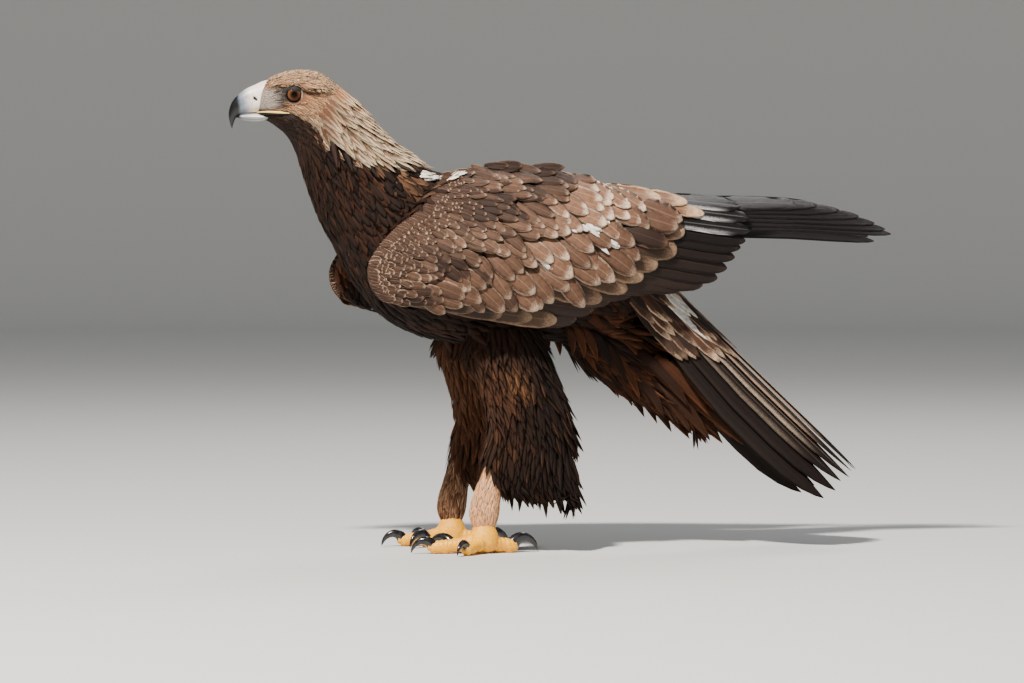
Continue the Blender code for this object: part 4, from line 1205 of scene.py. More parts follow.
TERTIAL = ([0, 0.15, 0.35, 0.6, 0.8, 0.92, 0.98, 1], [0.35, 0.6, 0.85, 1.0, 0.95, 0.7, 0.4, 0.12])
px, py, slope, length, width, dark = GREAT.T
x, z = on_wing_face(*far_end(px, py, slope, -length))
luck = chances(23, len(px))
middle = blended(dark, blended(luck, srgb(112, 78, 56), srgb(138, 100, 74)), srgb(38, 27, 23))
edge = blended(dark * 0.8, blended(luck, srgb(190, 150, 118), srgb(226, 188, 152)), srgb(104, 80, 64))
for side, label in SIDES:
    rings = wing_vanes(x, z, slope, length, width, TERTIAL, (-3.0, -1.0, 0.4, 1.6), side, layer=1.5,
                       lean=1.4, columns=7)
    woven("great_coverts_" + label, rings, TERTIAL[0], covert_look, (middle, edge),
          traits_of(luck, 0.3 - dark * 0.3), near_skin(rings))

# %% [markdown]
# The flight feathers are long and dark and lie in a fan under the coverts. Upper vanes lie
# over lower ones in the secondaries, and the primaries slide out from below them all. The
# last tertials are glossy black and bowed, each with a pale stripe along one margin that is
# a painted highlight.

# %% Flight feathers
# tip in the photograph, slope, length and how black
SECONDARIES = np.array([
    (582, 321, 5, 150, 0.3), (600, 312, 8, 150, 0.3), (618, 303, 9, 155, 0.3), (640, 297, 9, 160, 0.35),
    (665, 292, 9, 165, 0.4), (693, 291, 9, 170, 0.5), (714, 288, 9, 172, 0.5), (729, 281, 9, 172, 0.6),
    (738, 271, 9, 170, 0.7), (745, 260, 9, 168, 0.8), (750, 250, 8, 166, 0.9), (754, 243, 8, 160, 0.95),
    (757, 232, 7, 150, 1), (754, 219, 7, 134, 1), (743, 207, 6, 110, 1),
], float)
FLIGHT_VANE = (
    [0, 0.1, 0.3, 0.5, 0.7, 0.85, 0.94, 0.98, 1], [0.3, 0.5, 0.75, 0.9, 1.0, 0.92, 0.65, 0.38, 0.1],
)
px, py, slope, length, black = SECONDARIES.T
x, z = on_wing_face(*far_end(px, py, slope, -length))
width = 15.0 - black * 5
luck = chances(24, len(px))
middle = blended(black, blended(luck, srgb(50, 35, 29), srgb(66, 46, 38)), srgb(15, 12, 13))
edge = blended(black, blended(luck, srgb(92, 68, 56), srgb(120, 92, 76)), srgb(40, 35, 36))
last = black == 1
# painted highlight: the glossy tertials' pale margin stands in for the shine along each bowed vane
edge[last] = srgb(196, 192, 194)
for side, label in SIDES:
    for name, chosen, look, camber in (("secondaries_", ~last, flight_look, 0.2),
                                       ("tertials_", last, glossy_look, 0.5)):
        rings = wing_vanes(
            x[chosen], z[chosen], slope[chosen], length[chosen], width[chosen], FLIGHT_VANE,
            (-1, -0.5, 0, 0.5), side, layer=5.0 - camber, lean=3.0, camber=camber, columns=7,
        )
        woven(name + label, rings, FLIGHT_VANE[0], look,
              (middle[chosen], edge[chosen]), traits_of(luck[chosen]), hides=["wing_secondaries_" + label])

# tip in the photograph, slope, length, half-width and how far the tip bends down
PRIMARY = np.array([
    (895, 233, -12, 330, 8, 62), (889, 228, -10, 325, 8, 52), (878, 222, -7, 315, 8, 38),
    (862, 215, -5, 300, 8.5, 26), (842, 209, -3, 282, 8.5, 15), (820, 204, -1, 262, 8.5, 7),
    (798, 203, 1, 240, 8.5, 0), (776, 205, 2, 220, 8.5, 0),
], float)
px, py, slope, length, width, sweep = PRIMARY.T
x, z = seen(px, py, -22.0)
x = x - length * np.cos(np.radians(slope)) + sweep * np.sin(np.radians(slope))
z = z + length * np.sin(np.radians(slope)) + sweep * np.cos(np.radians(slope))
luck = chances(25, len(px))
middle = blended(luck, srgb(22, 20, 21), srgb(32, 29, 31))
edge = blended(luck, srgb(56, 52, 54), srgb(72, 68, 70))
for side, label in SIDES:
    rings = wing_vanes(x, z, slope, length, width, FLIGHT_VANE, (-1, 0, 2, 4), side, layer=16.0,
                       lean=2.4, columns=7, sweep=sweep)
    woven("primaries_" + label, rings, FLIGHT_VANE[0], flight_look, (middle, edge),
          traits_of(luck), hides=["wing_primaries_" + label])

# %% [markdown]
# Between worn coverts the white down shows. It is made of small pointed tufts that fan out
# in a few places, with a larger one on the shoulder.

# %% White down on the wing
SHOULDER_TUFTS = 34
# place in the photograph, reach, count, slope and length
DOWN = [
    (585, 228, 4, 12, 28, 14), (606, 242, 4, 12, 30, 16), (541, 262, 3, 9, 44, 14), (566, 228, 3, 8, 32, 13),
    (600, 214, 3, 7, 34, 12), (604, 196, 3, 7, 28, 12), (626, 214, 4, 8, 25, 14),
]
draw = np.random.default_rng(27)
rows = [
    (cx + draw.normal(0, reach), cy + draw.normal(0, reach * 0.5), slope + draw.normal(0, 10),
     size * draw.uniform(0.7, 1.2))
    for cx, cy, reach, count, slope, size in DOWN for _ in range(count)
]
px, py, slope, length = np.array(rows).T
x, z = on_wing_face(px, py)
luck = draw.uniform(0, 1, len(px))
white = (blended(luck, srgb(214, 190, 170), WHITE), blended(luck, WHITE, WHITE))
for side, label in SIDES:
    rings = wing_vanes(x, z, slope, length, 3.0, HACKLE, (0.5, 3.4, 4.4, 5.0), side)
    woven("white_down_" + label, rings, HACKLE[0], gold_look, white,
          traits_of(luck, luck, luck), near_skin(rings))

draw = np.random.default_rng(29)
spots = np.stack([draw.uniform(-118, -84, SHOULDER_TUFTS), draw.uniform(40, 66, SHOULDER_TUFTS),
                  np.full(SHOULDER_TUFTS, 449.0)], -1)
for side, label in SIDES:
    coat("shoulder_down_" + label, gold_look, spots * (1, side, 1),
         np.tile((1.0, 0.0, -0.05), (SHOULDER_TUFTS, 1)), 17.0, 3.2, CONTOUR, (0.5, 4.5, 6.0, 6.5), 30,
         colours=lambda points, luck: (blended(luck, CREAM, WHITE), blended(luck, WHITE, WHITE)))

# %% [markdown]
# The tail hangs down and back as a half-closed arch. Its middle feathers lie on top, and
# of every other one only the outer margin shows, as a pale stripe beside a dark one. The
# stripe is partly the margin's own colour and partly a painted glint, and on the lower
# feathers it is darkened as painted shade.

# %% Tail
TAIL_ROOT = (166, 333)
TAIL_COLUMNS = 7
TAIL_CAMBER = 0.1
# distance along the tail, half-width and depth of the arch
TAIL = [(0, 26, 40), (60, 36, 52), (150, 46, 66), (240, 53, 68), (310, 56, 66), (342, 52, 60)]


def tail_arch(distance, turn, lift):
    """Points on the arch: turn 0 is its ridge."""
    width, depth = np.moveaxis(at_x(TAIL, distance), -1, 0)
    x = TAIL_ROOT[0] + distance * math.cos(TAIL_TURN)
    z = TAIL_ROOT[1] - distance * math.sin(TAIL_TURN)
    down = depth * (1 - np.cos(turn)) - lift * np.cos(turn)
    across = width * np.sin(turn) + lift * np.sin(turn)
    return np.stack([x - down * math.sin(TAIL_TURN), across, z - down * math.cos(TAIL_TURN)], -1)


def tail_vanes(turn, start, end, half_width, shape, rises, lean):
    """Rings of feathers that lie along the arch, first the near side's."""
    stations, profile = (np.array(row, float)[None, :, None] for row in shape)
    across = np.linspace(-1, 1, TAIL_COLUMNS)
    turn, start, end = (v[:, None, None] for v in np.broadcast_arrays(turn, start, end))
    distance = start + (end - start) * stations + 0 * across
    width, depth = np.moveaxis(at_x(TAIL, distance), -1, 0)
    angle = np.radians(turn) + half_width * profile * across * 2 / (width + depth)
    bow = TAIL_CAMBER * half_width * profile * (1 - across ** 2)
    lift = rise_along(stations, rises) + lean * profile * across + bow
    found = []
    for side, _ in SIDES:
        upper = tail_arch(distance, angle * side, lift)
        lower = tail_arch(distance, angle * side, lift - VANE_THICKNESS)[:, :, 1:-1][:, :, ::-1]
        rings = np.concatenate([upper, lower], axis=2)
        found.append(turned_over(rings, TAIL_COLUMNS) if side > 0 else rings)
    return np.concatenate(found)


RECTRIX = (
    [0, 0.1, 0.3, 0.5, 0.7, 0.82, 0.91, 0.97, 1], [0.35, 0.5, 0.72, 0.9, 1.0, 0.92, 0.62, 0.28, 0.04],
)
turns = np.array([7, 19, 32, 45, 58, 72, 87], float)
ends = np.array([349, 347, 342, 343, 337, 339, 334], float)
rings = tail_vanes(turns, 20.0, ends, 11.5, RECTRIX, (-2, -1, 0, 0.5), 2.6)
luck = chances(26, len(rings))
turned = np.repeat([0.0, 1.0], len(turns))
# painted shade: the pale margins darken on the feathers further down the arch, which hang in shadow
painted_shade = np.tile([0.0, 0.0, 0.1, 0.35, 0.8, 1.0, 1.0], 2)
middle = blended(luck, srgb(18, 14, 13), srgb(30, 23, 21))
edge = blended(painted_shade, blended(luck, srgb(176, 146, 124), srgb(226, 202, 180)), srgb(40, 32, 29))
woven("tail_feathers", rings, RECTRIX[0], tail_look, (middle, edge),
      traits_of(luck, 0.0, turned), hides=["tail_left", "tail_right"])

# the coverts over its root: turn round the arch, start, end, half-width and tone
draw = np.random.default_rng(28)
rows = []
for start, end, count in ((-34, 44, 12), (-10, 76, 12), (14, 108, 12), (40, 142, 9)):
    for turn in np.linspace(4, 92 if end < 120 else 64, count):
        rows.append((turn + draw.normal(0, 3), start, end + draw.normal(0, 9), draw.uniform(0, 1)))
turns, starts, ends, luck = np.array(rows).T
rings = tail_vanes(turns, starts, ends, 8.5, CONTOUR, (-2, 1, 2.4, 3), 1.0)
both = np.tile(luck, 2)
bright = np.tile((ends > 60) & (ends < 112) & (turns > 24) & (turns < 54) & (luck > 0.3), 2)
middle = blended(both, srgb(22, 14, 11), srgb(84, 55, 40))
edge = blended(both * 1.4 - 0.3, srgb(84, 56, 42), srgb(232, 196, 164))
middle, edge = blended(bright * 0.7, middle, WHITE), blended(bright * 0.9, edge, WHITE)
woven("tail_coverts", rings, CONTOUR[0], covert_look, (middle, edge),
      traits_of(both, both * 0.2))

# %% [markdown]
# Long loose feathers hang from the thighs and under the tail. They follow the skin for
# the first part and then hang free, which is what makes the ragged edge.

# %% Trousers and undertail feathers


def lit_near_shank(points, luck):
    """The near shank, painted as lit: warm buff in front and browner behind."""
    back = np.clip((points[..., 0] + 38) / 14, 0, 1)
    buff = blended(luck, srgb(250, 166, 112), srgb(255, 186, 134))
    return blended(back, buff, srgb(150, 106, 74)), blended(back, srgb(255, 208, 162), srgb(214, 160, 114))


def shaded_far_shank(points, luck):
    """The far shank, a copy painted as shaded: brown all round."""
    return blended(luck, srgb(70, 42, 28), srgb(98, 62, 42)), blended(luck, srgb(112, 72, 48), BUFF)


for side, label in SIDES:

    def thigh_surface(place, turn, side=side):
        return on_its_side(limb_place(LEG_TOP + THIGH, place, turn, 5.0), side, FAR_LEG)

    roots, headings, where = rows_over(thigh_surface, 8.4, 0.3, 7.5, 6.6, 31 + side, reach=10)
    back = np.clip(np.cos(where[:, 1]), 0, 1)
    headings = headings + np.stack([back * 0.3, 0 * back, 0 * back], -1)
    length = np.interp(where[:, 0], [0, 4, 6, 8.4], [34, 42, 46, 34]) * (0.75 + 0.4 * back)
    coat("trousers_" + label, leg_look, roots, headings, length, 4.0, HACKLE,
         (0.2, 2.0, 4.0, 5.5), 41 + side, follow=0.45, droop=0.3, sway=0.2)

    def shank_surface(place, turn, side=side):
        return on_its_side(limb_place(TARSUS, place, turn, 1.0), side, FAR_LEG)

    roots, headings, _ = rows_over(shank_surface, 5.9, 0.6, 3.8, 3.2, 51 + side, reach=4)
    coat("shank_feathers_" + label, gold_look, roots, headings, 15.0, 1.8, SMALL,
         (0.1, 0.4, 0.8, 1.0), 61 + side, colours=lit_near_shank if side < 0 else shaded_far_shank)


def vent_surface(place, turn):
    return vent_place(place, turn, 9.0)


roots, headings, where = rows_over(vent_surface, 4.8, 0.3, 8.0, 7.0, 71, reach=12)
length = np.interp(where[:, 0], [0, 1, 2, 3, 4, 5], [40, 50, 60, 64, 50, 30])
coat("undertail_feathers", leg_look, roots, headings, length, 6.0, HACKLE,
     (0.2, 2.0, 4.0, 5.0), 72, follow=0.3, droop=0.05, sway=0.16)

# %% [markdown]
# The ragged ends are drawn one by one, since they make the outline: long soft feathers
# behind the shins, under the flanks and below the tail, each from its root to its tip.

# %% Ragged ends
# root and tip in the photograph, distance from the mid-plane and half-width
ENDS = np.array([
    (556, 440, 580, 488, -66, 5), (552, 450, 578, 504, -62, 5), (548, 456, 571, 499, -70, 5),
    (540, 462, 560, 508, -64, 5), (532, 458, 546, 517, -66, 6), (526, 464, 540, 510, -60, 5),
    (518, 462, 527, 506, -68, 5), (513, 466, 519, 511, -60, 5), (508, 460, 514, 498, -66, 4),
    (560, 418, 577, 462, -66, 5), (556, 400, 572, 440, -66, 5), (550, 382, 566, 420, -64, 5),
    (566, 326, 572, 356, -38, 5), (572, 324, 584, 358, -34, 6), (580, 326, 597, 362, -30, 6),
    (590, 330, 611, 370, -28, 7), (600, 338, 627, 387, -26, 7), (610, 346, 640, 400, -24, 7),
    (620, 352, 652, 408, -20, 8), (628, 360, 665, 419, -22, 9), (640, 370, 676, 425, -16, 8),
    (650, 376, 692, 434, -20, 9), (660, 384, 711, 441, -22, 10), (668, 386, 722, 440, -14, 9),
    (680, 388, 745, 446, -22, 10), (690, 386, 752, 440, -16, 9), (640, 352, 690, 408, -30, 9),
    (655, 356, 712, 418, -30, 9), (670, 362, 730, 424, -30, 9), (686, 370, 748, 432, -28, 9),
], float)
# how far a feather sags on its way, and how many of the first rows hang from the thigh
SAG = 4.0
LEG_ENDS = 12


def hanging(rows):
    """Rings of soft feathers from root to tip, which sag a little on their way."""
    stations, profile = (np.array(v, float) for v in HACKLE)
    across = np.linspace(-1, 1, 5)
    x0, z0 = seen(rows[:, 0], rows[:, 1], rows[:, 4])
    x1, z1 = seen(rows[:, 2], rows[:, 3], rows[:, 4])
    ahead = np.stack([x1 - x0, 0 * x0, z1 - z0], -1)
    side = np.stack([-ahead[:, 2], 0 * x0, ahead[:, 0]], -1) / np.linalg.norm(ahead, axis=1)[:, None]
    start = np.stack([x0, rows[:, 4], z0], -1)
    spine = start[:, None] + ahead[:, None] * stations[None, :, None]
    spine = spine + side[:, None] * (SAG * 4 * stations * (1 - stations))[None, :, None]
    reach = rows[:, 5][:, None] * profile[None, :]
    rings = []
    for value in across:
        bow = (0, 1, 0) * (reach * (1 - value * value) * 0.3)[..., None]
        rings.append(spine + side[:, None] * (reach * value)[..., None] - bow)
    for value in across[1:-1][::-1]:
        rings.append(spine + side[:, None] * (reach * value)[..., None] + (0, 0.4, 0))
    return np.stack(rings, axis=2)


luck = chances(74, len(ENDS))
leg_end = (np.arange(len(ENDS)) < LEG_ENDS)[:, None]
middle = np.where(leg_end, blended(luck, BLACKISH, DARK), blended(luck, BLACKISH, srgb(70, 38, 20)))
edge = np.where(
    leg_end, blended(luck, DARK, srgb(96, 62, 42)), blended(luck, srgb(56, 34, 22), srgb(140, 84, 48))
)
near_rings = hanging(ENDS)
far_rings = turned_over(on_its_side(near_rings, 1, FAR_LEG), 5)
for name, rings in (("ragged_ends_left", near_rings), ("ragged_ends_right", far_rings)):
    woven(name, rings, HACKLE[0], leg_look, (middle, edge), traits_of(luck),
          near_skin(near_rings))

# %% [markdown]
# Wherever skin would still show, as on the wrists' inner sides, above the thighs and in the
# folds behind the wings, small body feathers fill in. They keep away from every root that
# is already there.

# %% Filling in


def lie_of_coat(points):
    """The way the coat lies at places of the body."""
    x, y, z = points.T
    ahead = np.tile((1.0, 0.0, -0.2), (len(points), 1))
    ahead[(x < -95) & (z < 400)] = (0.6, 0.0, -0.8)
    ahead[(x > 100) & (z < 300)] = (0.72, 0.0, -0.69)
    ahead[(z < 258) & (np.abs(y) > 28) & (x < 95)] = (0.2, 0.0, -1.0)
    wrist = (x < -120) & (np.abs(y) > 70)
    ahead[wrist] = np.stack([0.3 + 0 * y, -np.sign(y) * 0.3, -1.0 + 0 * y], -1)[wrist]
    return ahead


def open_skin(spacing, seed):
    """Places on the skin that keep their distance from all roots and from each other."""
    places = read_places(skin.data.polygons, "center")
    x, y, z = places.T
    back, up = np.where(y > 0, 10, 0), np.where(y > 0, 9, 0)
    edges = at_x(WING, x + back)
    face = (np.abs(y) > blade_depth(x + back, z + up) - 12) & (z + up > edges[:, 0] + 3) & (x + back > -176)
    head = (x < -215) & (z > 470)
    foot = z < 50
    order = np.random.default_rng(seed).permutation(np.flatnonzero(~face & ~head & ~foot))
    taken = {}
    for place in np.concatenate(grown):
        taken.setdefault(tuple((place // spacing).astype(int)), []).append(place)
    around = [(i, j, k) for i in (-1, 0, 1) for j in (-1, 0, 1) for k in (-1, 0, 1)]
    chosen = []
    for index in order:
        place = places[index]
        cell = (place // spacing).astype(int)
        close = [p for step in around for p in taken.get(tuple(cell + step), ())]
        if close and np.linalg.norm(np.array(close) - place, axis=1).min() < spacing:
            continue
        taken.setdefault(tuple(cell), []).append(place)
        chosen.append(place)
    return np.array(chosen)


roots = open_skin(8.0, 81)
coat("filling_feathers", body_look, roots, lie_of_coat(roots), 24.0, 5.4,
     CONTOUR, (0.2, 1.2, 2.4, 3.2), 82, sway=0.15)

# %% [markdown]
# The bill is one smooth hooked form: rings that shrink and turn down, pale at the root
# and black at the hook. The cere, the soft skin over its root, is a separate piece with
# the nostrils pressed into it, and the lower bill closes against them.

# %% Bill and cere
BILL_UPPER = [
    (-288, 553, -284, 515.5, 16.5), (-297, 550.5, -295, 514.8, 14.5), (-306, 546.4, -305, 514.4, 12),
    (-316.5, 541.6, -314.5, 513.6, 9.6), (-326.5, 533.8, -322.5, 512, 7.2), (-333.5, 524.5, -328, 507.5, 5),
    (-336.4, 513, -330.5, 502, 3.2), (-335, 502, -331.7, 498.5, 1.6), (-332.8, 495.6, -332.2, 495.4, 0.4),
]
BILL_LOWER = [
    (-270, 512.6, -272, 508.6, 16), (-286, 512.8, -288, 507, 14.5), (-300, 513, -301, 504, 11.8),
    (-313, 512.8, -314, 504.6, 7.6), (-323, 511.6, -323, 506.4, 5), (-327.4, 509.8, -327, 508, 2.4),
]
# the bare yellow edge of the mouth: x, z and radius
LIPS = np.array([
    (-305, 514.4, 0.3), (-295, 514.8, 1.0), (-285, 514.4, 1.3), (-277, 513.8, 1.1), (-269, 513, 0.3),
])
NOSTRIL = (-306.5, 530)


def bill_rings(rows, first, last, steps, sides=28, grow=0.0):
    """Rings down the bill, each wider at its root by grow."""
    turns = ring_turns(sides)
    up, out = squarer(np.sin(turns), 0.85), squarer(np.cos(turns), 0.85)
    rings = []
    for place in np.linspace(first, last, steps):
        tx, tz, bx, bz, width = curve_through(rows, place)[0]
        x, z = (tx + bx) / 2 + (tx - bx) / 2 * up, (tz + bz) / 2 + (tz - bz) / 2 * up
        rings.append(np.stack([x, (width + grow * (last - place)) * out, z], -1))
    return np.array(rings)


def nostril_distance(x, z):
    """Distance from the slanting slit, in half-widths of it."""
    dx, dz = x - NOSTRIL[0], z - NOSTRIL[1]
    along, away = dx * 0.7 - dz * 0.72, dx * 0.72 + dz * 0.7
    return np.hypot(along / 3.4, away / 1.6)


horn = Finish("bill_horn", Roughness=0.3, Coat_Weight=0.12, Coat_Roughness=0.2)
x_place, _, z_place = horn.split(horn.place())
toward_hook = ((-322 * MM + SHIFT[0]) - x_place) * (1 / (13 * MM)) + (0.5 - (z_place - 0.503) * 22) * 0.5
cloud = horn.noise(160, 4)
dark_tip = (toward_hook + (cloud - 0.5) * 0.4).step(0.0, 0.45)
tone = horn.mix(cloud.step(0.3, 0.7) * 0.4, rgba(238, 224, 214), rgba(206, 196, 190))
tone = horn.mix((toward_hook + (cloud - 0.5) * 0.6).step(-1.2, 0.1), tone, rgba(104, 114, 126))
# painted shade: the bill is greyer towards its underside
tone = horn.mix((1 - z_place.step(0.508, 0.515)) * 0.85, tone, rgba(124, 124, 130))
horn.colour(horn.mix(dark_tip, tone, rgba(12, 11, 13)))
horn.relief(horn.noise(300, stretch=(1, 1, 4)), 0.2, 0.0005)

skin_wax = Finish("cere_skin", Roughness=0.4)
_, _, height = skin_wax.split(skin_wax.place())
lower = 1 - (height - 0.516).step(0.0, 0.005)
mottle = skin_wax.noise(220)
pale = skin_wax.mix(mottle.step(0.3, 0.75) * 0.5, rgba(238, 224, 212), rgba(208, 194, 184))
pale = skin_wax.mix(lower * 0.7, pale, rgba(244, 220, 150))
dx, dz = skin_wax.offsets(*NOSTRIL)
# painted shade: the nostril slit is painted dark, as the shadow in its hollow
slit = (((dx * 0.7 - dz * 0.72) * (1 / 3.4)) ** 2 + ((dx * 0.72 + dz * 0.7) * (1 / 1.6)) ** 2) ** 0.5
skin_wax.colour(skin_wax.mix(1 - slit.step(0.8, 1.15), pale, rgba(26, 20, 18)))
skin_wax.relief(skin_wax.noise(700), 0.25, 0.0004)

rolled(bill_rings(BILL_UPPER, 2.34, 8, 40))
settle_piece("bill_hook", horn.material, ["bill_upper"])
cere = bill_rings(BILL_UPPER, 0, 2.4, 60, 96, 0.1)
deep = np.clip(1.3 - nostril_distance(cere[..., 0], cere[..., 2]), 0, 1)
cere[..., 1] -= np.sign(cere[..., 1]) * 3.0 * deep
rolled(cere)
settle_piece("cere", skin_wax.material, ["cere"])
rolled(bill_rings(BILL_LOWER, 0.2, 5, 36))
settle_piece("bill_below", horn.material, ["bill_lower"])

lip_look = Finish("yellow_lips", Roughness=0.42)
wrinkle = lip_look.noise(500, stretch=(3, 1, 1))
lip_look.colour(lip_look.mix(wrinkle.step(0.35, 0.75), rgba(252, 220, 140), rgba(226, 170, 80)))
lip_look.relief(wrinkle, 0.3, 0.0005)
lips = curve_through(LIPS, np.linspace(0, 4, 22))


def face_width(x, z):
    """How far the head's skin, or else the bill, stands from the mid-plane."""
    hit = skin_tree.ray_cast(Vector((x * MM + SHIFT[0], -0.06, z * MM)), Vector((0, 1, 0)))[0]
    bill = float(np.interp(x, [-306, -295, -284], [10.6, 13.2, 15]))
    return max(-hit.y / MM if hit else 0.0, bill)


route = np.array([(x, face_width(x, z) + 0.4, z) for x, z, _ in lips])
route[:, 1] = np.convolve(np.pad(route[:, 1], 2, mode="edge"), np.full(5, 0.2), mode="valid")
for side, label in SIDES:
    rolled(tube(route * (1, side, 1), lips[:, 2]))
    settle_piece("lips_" + label, lip_look.material)
print("bill done")

# %% [markdown]
# An eagle's look comes from the brow over the eye. The eyeball is a sphere that lies deep
# behind a ring of bare lid, with a dark amber iris, a large pupil and a faint wet shine.

# %% Eyes and lids
# the lid's opening, how far its upper part hangs into it, and the lid's least half-width
LID_OPENING = 9.2
LID_HANG = 3.6
LID_WIDTH = 2.4

eye_look = Finish("amber_eye", Roughness=0.08, Coat_Weight=0.06, Specular_IOR_Level=0.04,
                  Coat_Roughness=0.02)
dx, dz = eye_look.offsets(EYE[0], EYE[2])
out = (dx * dx + dz * dz) ** 0.5
rays = eye_look.noise(1500, 2)
iris = eye_look.mix((out + (rays - 0.5) * 3).step(3.4, 7.4), rgba(46, 26, 15), rgba(100, 62, 38))
iris = eye_look.mix(out.step(6.8, 8.0), iris, rgba(20, 12, 10))
eye_look.colour(eye_look.mix(1 - out.step(3.2, 3.7), iris, (0.003, 0.003, 0.003, 1)))
lid_look = Finish("lid_skin", Roughness=0.75)
folds = lid_look.noise(900)
behind, _ = lid_look.offsets(EYE[0], EYE[2])
# painted shade: the lid is nearly black in front and above, partly its own dark skin and partly the brow's
# shadow; it is pale behind the eye
lid_tone_and_brow_shade = lid_look.mix(behind.step(7.5, 10.5), rgba(16, 12, 12), rgba(190, 168, 152))
lid_look.colour(lid_look.mix(folds.step(0.3, 0.7) * 0.5, lid_tone_and_brow_shade, rgba(12, 9, 9)))
lid_look.relief(folds, 0.4, 0.0005)
for side, label in SIDES:
    bpy.ops.mesh.primitive_uv_sphere_add(
        segments=48, ring_count=32, radius=EYE_RADIUS * MM,
        location=Vector((EYE[0] * MM, side * -EYE[1] * MM, EYE[2] * MM)) + Vector(SHIFT),
        rotation=(math.pi / 2, 0, 0),
    )
    bpy.ops.object.transform_apply(location=True, rotation=True, scale=True)
    bpy.ops.object.shade_smooth()
    settle_piece("eyeball_" + label, eye_look.material, ["eye_" + label])
    face = np.array([0, side, 0])
    sweep = 2 * np.pi * np.arange(12) / 12
    rings = []
    for turn in np.linspace(0, 2 * np.pi, 57):
        # the upper lid hangs lower over the eye than the lower one rises
        upper = max(math.sin(turn + 0.15), 0)
        radius = LID_OPENING - LID_HANG * upper ** 2
        outward = np.array([math.cos(turn), 0, math.sin(turn)])
        depth = -EYE[1] + math.sqrt(EYE_RADIUS ** 2 - radius ** 2) - 0.5
        centre = np.array([EYE[0], 0, EYE[2]]) + outward * (radius + 2.2) + face * depth
        wide = outward - 0.3 * face
        broad = LID_WIDTH + 1.5 * upper
        rings.append(centre + broad * np.cos(sweep)[:, None] * wide + 1.0 * np.sin(sweep)[:, None] * face)
    rolled(np.array(rings))
    settle_piece("lid_" + label, lid_look.material)
print("eyes done")

# %% [markdown]
# The feet are bare yellow skin with a row of broad scutes along the top of every toe and
# soft pads below. Each toe is a rolled form whose rings swell once for each scute. The
# talons are smooth black hooks.

# %% Feet and talons
FOOT = (-46, -65)
# heading from straight ahead towards the midline, length, root and tip radius, claw length
# and radius
TOES = {
    "inner": (38, 50, 9.5, 8.5, 42, 5.6), "middle": (4, 66, 9.5, 7.6, 36, 4.8),
    "outer": (-52, 50, 9.0, 7.2, 32, 4.4), "hind": (168, 42, 10.0, 8.8, 46, 6.2),
}
# the palm, rising into the leg's end inside its feathers: height and radius
PALM = [(1.5, 8), (4, 12.5), (9, 15.5), (15, 16.5), (22, 15.8), (28, 13.6), (34, 11.5), (44, 10)]
TOE_HEIGHT = 7.0
SCUTE = 5.4
CLAW_BEND = 58
FOOT_VOXEL = 0.0009
UP = np.array([0, 0, 1.0])

foot_look = Finish("yellow_foot_skin", Roughness=0.45)
cells = foot_look.node("ShaderNodeTexVoronoi", {"feature": "DISTANCE_TO_EDGE"},
                       {"Vector": foot_look.place(), "Scale": 360.0})
grain = foot_look.noise(260)
dirt = foot_look.noise(60)
base = foot_look.mix(grain.step(0.3, 0.7), rgba(250, 164, 4), rgba(255, 194, 26))
base = foot_look.mix(dirt.step(0.54, 0.75) * 0.5, base, rgba(180, 112, 44))
foot_look.colour(foot_look.mix(cells.step(0.0, 0.08), rgba(222, 140, 24), base))
foot_look.relief(cells.step(0.0, 0.2), 0.35, 0.0005)
talon_look = Finish("black_talon", Roughness=0.2, Coat_Weight=0.4)
streaks = talon_look.noise(240, stretch=(1, 1, 0.3))
talon_look.colour(talon_look.mix(streaks.step(0.35, 0.7), rgba(14, 13, 15), rgba(40, 37, 38)))
talon_look.relief(streaks, 0.12, 0.0004)


def toe_axes(heading):
    """The way a toe points, and the way across it."""
    angle = math.radians(heading)
    ahead = np.array([-math.cos(angle), math.sin(angle), 0])
    return ahead, np.array([math.sin(angle), math.cos(angle), 0])


def toe_rings(heading, length, root, tip):
    ahead, side = toe_axes(heading)
    turns = ring_turns(28)
    rings = []
    for part in np.linspace(0, 1, 96):
        rise = np.interp(part, [0, 0.3, 0.5, 0.72, 0.9, 1], [11, 4, 2.4, 0.4, 0.2, 1])
        swell = np.interp(part, [0, 0.3, 0.5, 0.72, 0.9, 1], [1, 1.02, 0.84, 0.98, 0.9, 0.55])
        radius = (root + (tip - root) * part) * swell
        scute = 0.15 * (1 - ((part * length / SCUTE) % 1)) * np.clip(np.sin(turns) * 1.6, 0, 1)
        pad = 0.08 * np.sin(part * length / 2.2) * np.clip(-np.sin(turns), 0, 1)
        centre = np.array([*FOOT, TOE_HEIGHT]) + ahead * length * part + UP * rise
        around = radius * (1 + scute + pad)
        ring = centre + (around * np.cos(turns))[:, None] * side + (around * np.sin(turns))[:, None] * UP
        ring[:, 2] = np.maximum(ring[:, 2], 0.0)
        rings.append(ring)
    return np.array(rings)


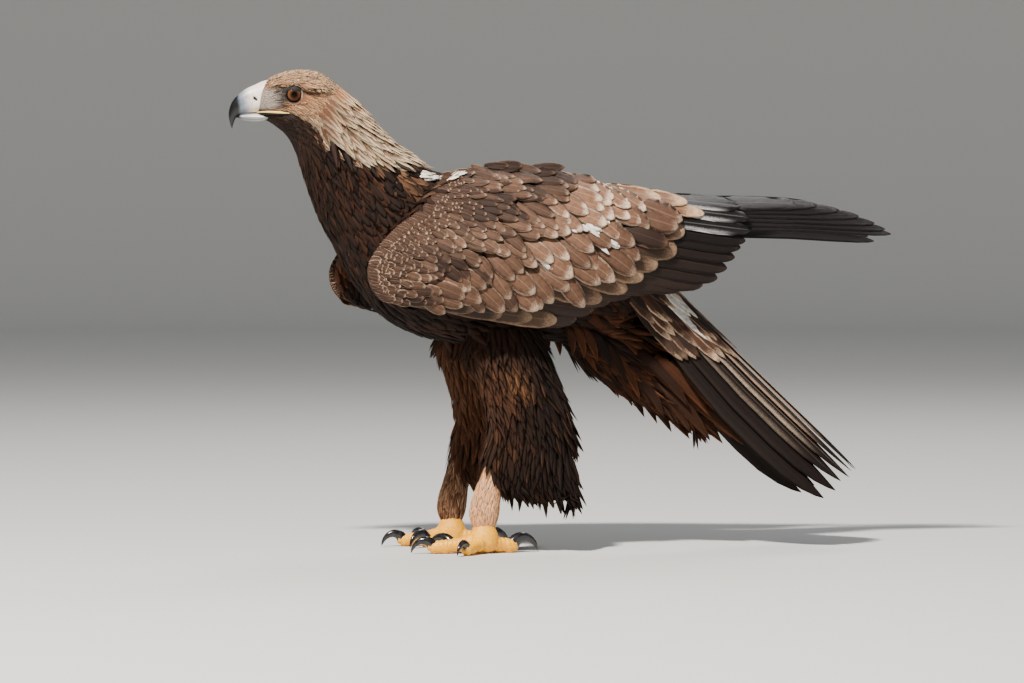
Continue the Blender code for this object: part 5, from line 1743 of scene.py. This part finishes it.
def talon_rings(heading, toe_length, length, radius):
    ahead, _ = toe_axes(heading)
    base = np.array([*FOOT, TOE_HEIGHT + 3.5]) + ahead * (toe_length - 5)
    part = np.linspace(0, 1, 30)
    bend = np.radians(CLAW_BEND - 134 * part)
    reach = length * 0.6
    out = reach * (math.sin(math.radians(CLAW_BEND)) - np.sin(bend)) * 0.62
    rise = reach * (np.cos(bend) - math.cos(math.radians(CLAW_BEND))) * 0.62
    radii = radius * 1.12 * (1 - part) ** 0.75 + 0.35
    route = base + ahead * out[:, None] + UP * rise[:, None]
    drop = route[-1, 2] - radii[-1] - 1.2
    route[:, 2] -= drop * part ** 1.5
    return tube(route, radii, 20, 1.15)


def palm_rings():
    turns = ring_turns(32)
    rings = []
    for height, radius in PALM:
        x, y = FOOT[0] + radius * 1.04 * np.cos(turns), FOOT[1] + radius * 0.92 * np.sin(turns)
        rings.append(np.stack([x, y, height + 0 * turns], -1))
    rows = np.array(rings).reshape(len(PALM), -1)
    return curve_through(rows, np.linspace(0, len(PALM) - 1, 30)).reshape(30, 32, 3)


for side, label in SIDES:
    toes = []
    for heading, length, root, tip, _, _ in TOES.values():
        toes.append(rolled(on_its_side(toe_rings(heading, length, root, tip), side, FAR_LEG)))
    for key, (heading, length, _, _, claw, claw_radius) in TOES.items():
        rolled(on_its_side(talon_rings(heading, length, claw, claw_radius), side, FAR_LEG))
        settle_piece("talon_" + key + "_" + label, talon_look.material,
                     ["claw_" + key + "_" + label])
    palm = rolled(on_its_side(palm_rings(), side, FAR_LEG))
    foot = joined([palm] + toes)
    with_modifier(foot, "REMESH", mode="VOXEL", voxel_size=FOOT_VOXEL)
    with_modifier(foot, "SMOOTH", factor=0.5, iterations=1)
    select_only(foot)
    bpy.ops.object.shade_smooth()
    settle_piece("foot_skin_" + label, foot_look.material, ["foot_" + label])
print("feet done")

# %% [markdown]
# The last cell counts the faces of every piece that shows.

# %% Finish
shown = [o for o in bpy.context.scene.objects if o.type == "MESH" and not o.hide_render]
print("faces shown:", sum(len(o.data.polygons) for o in shown))
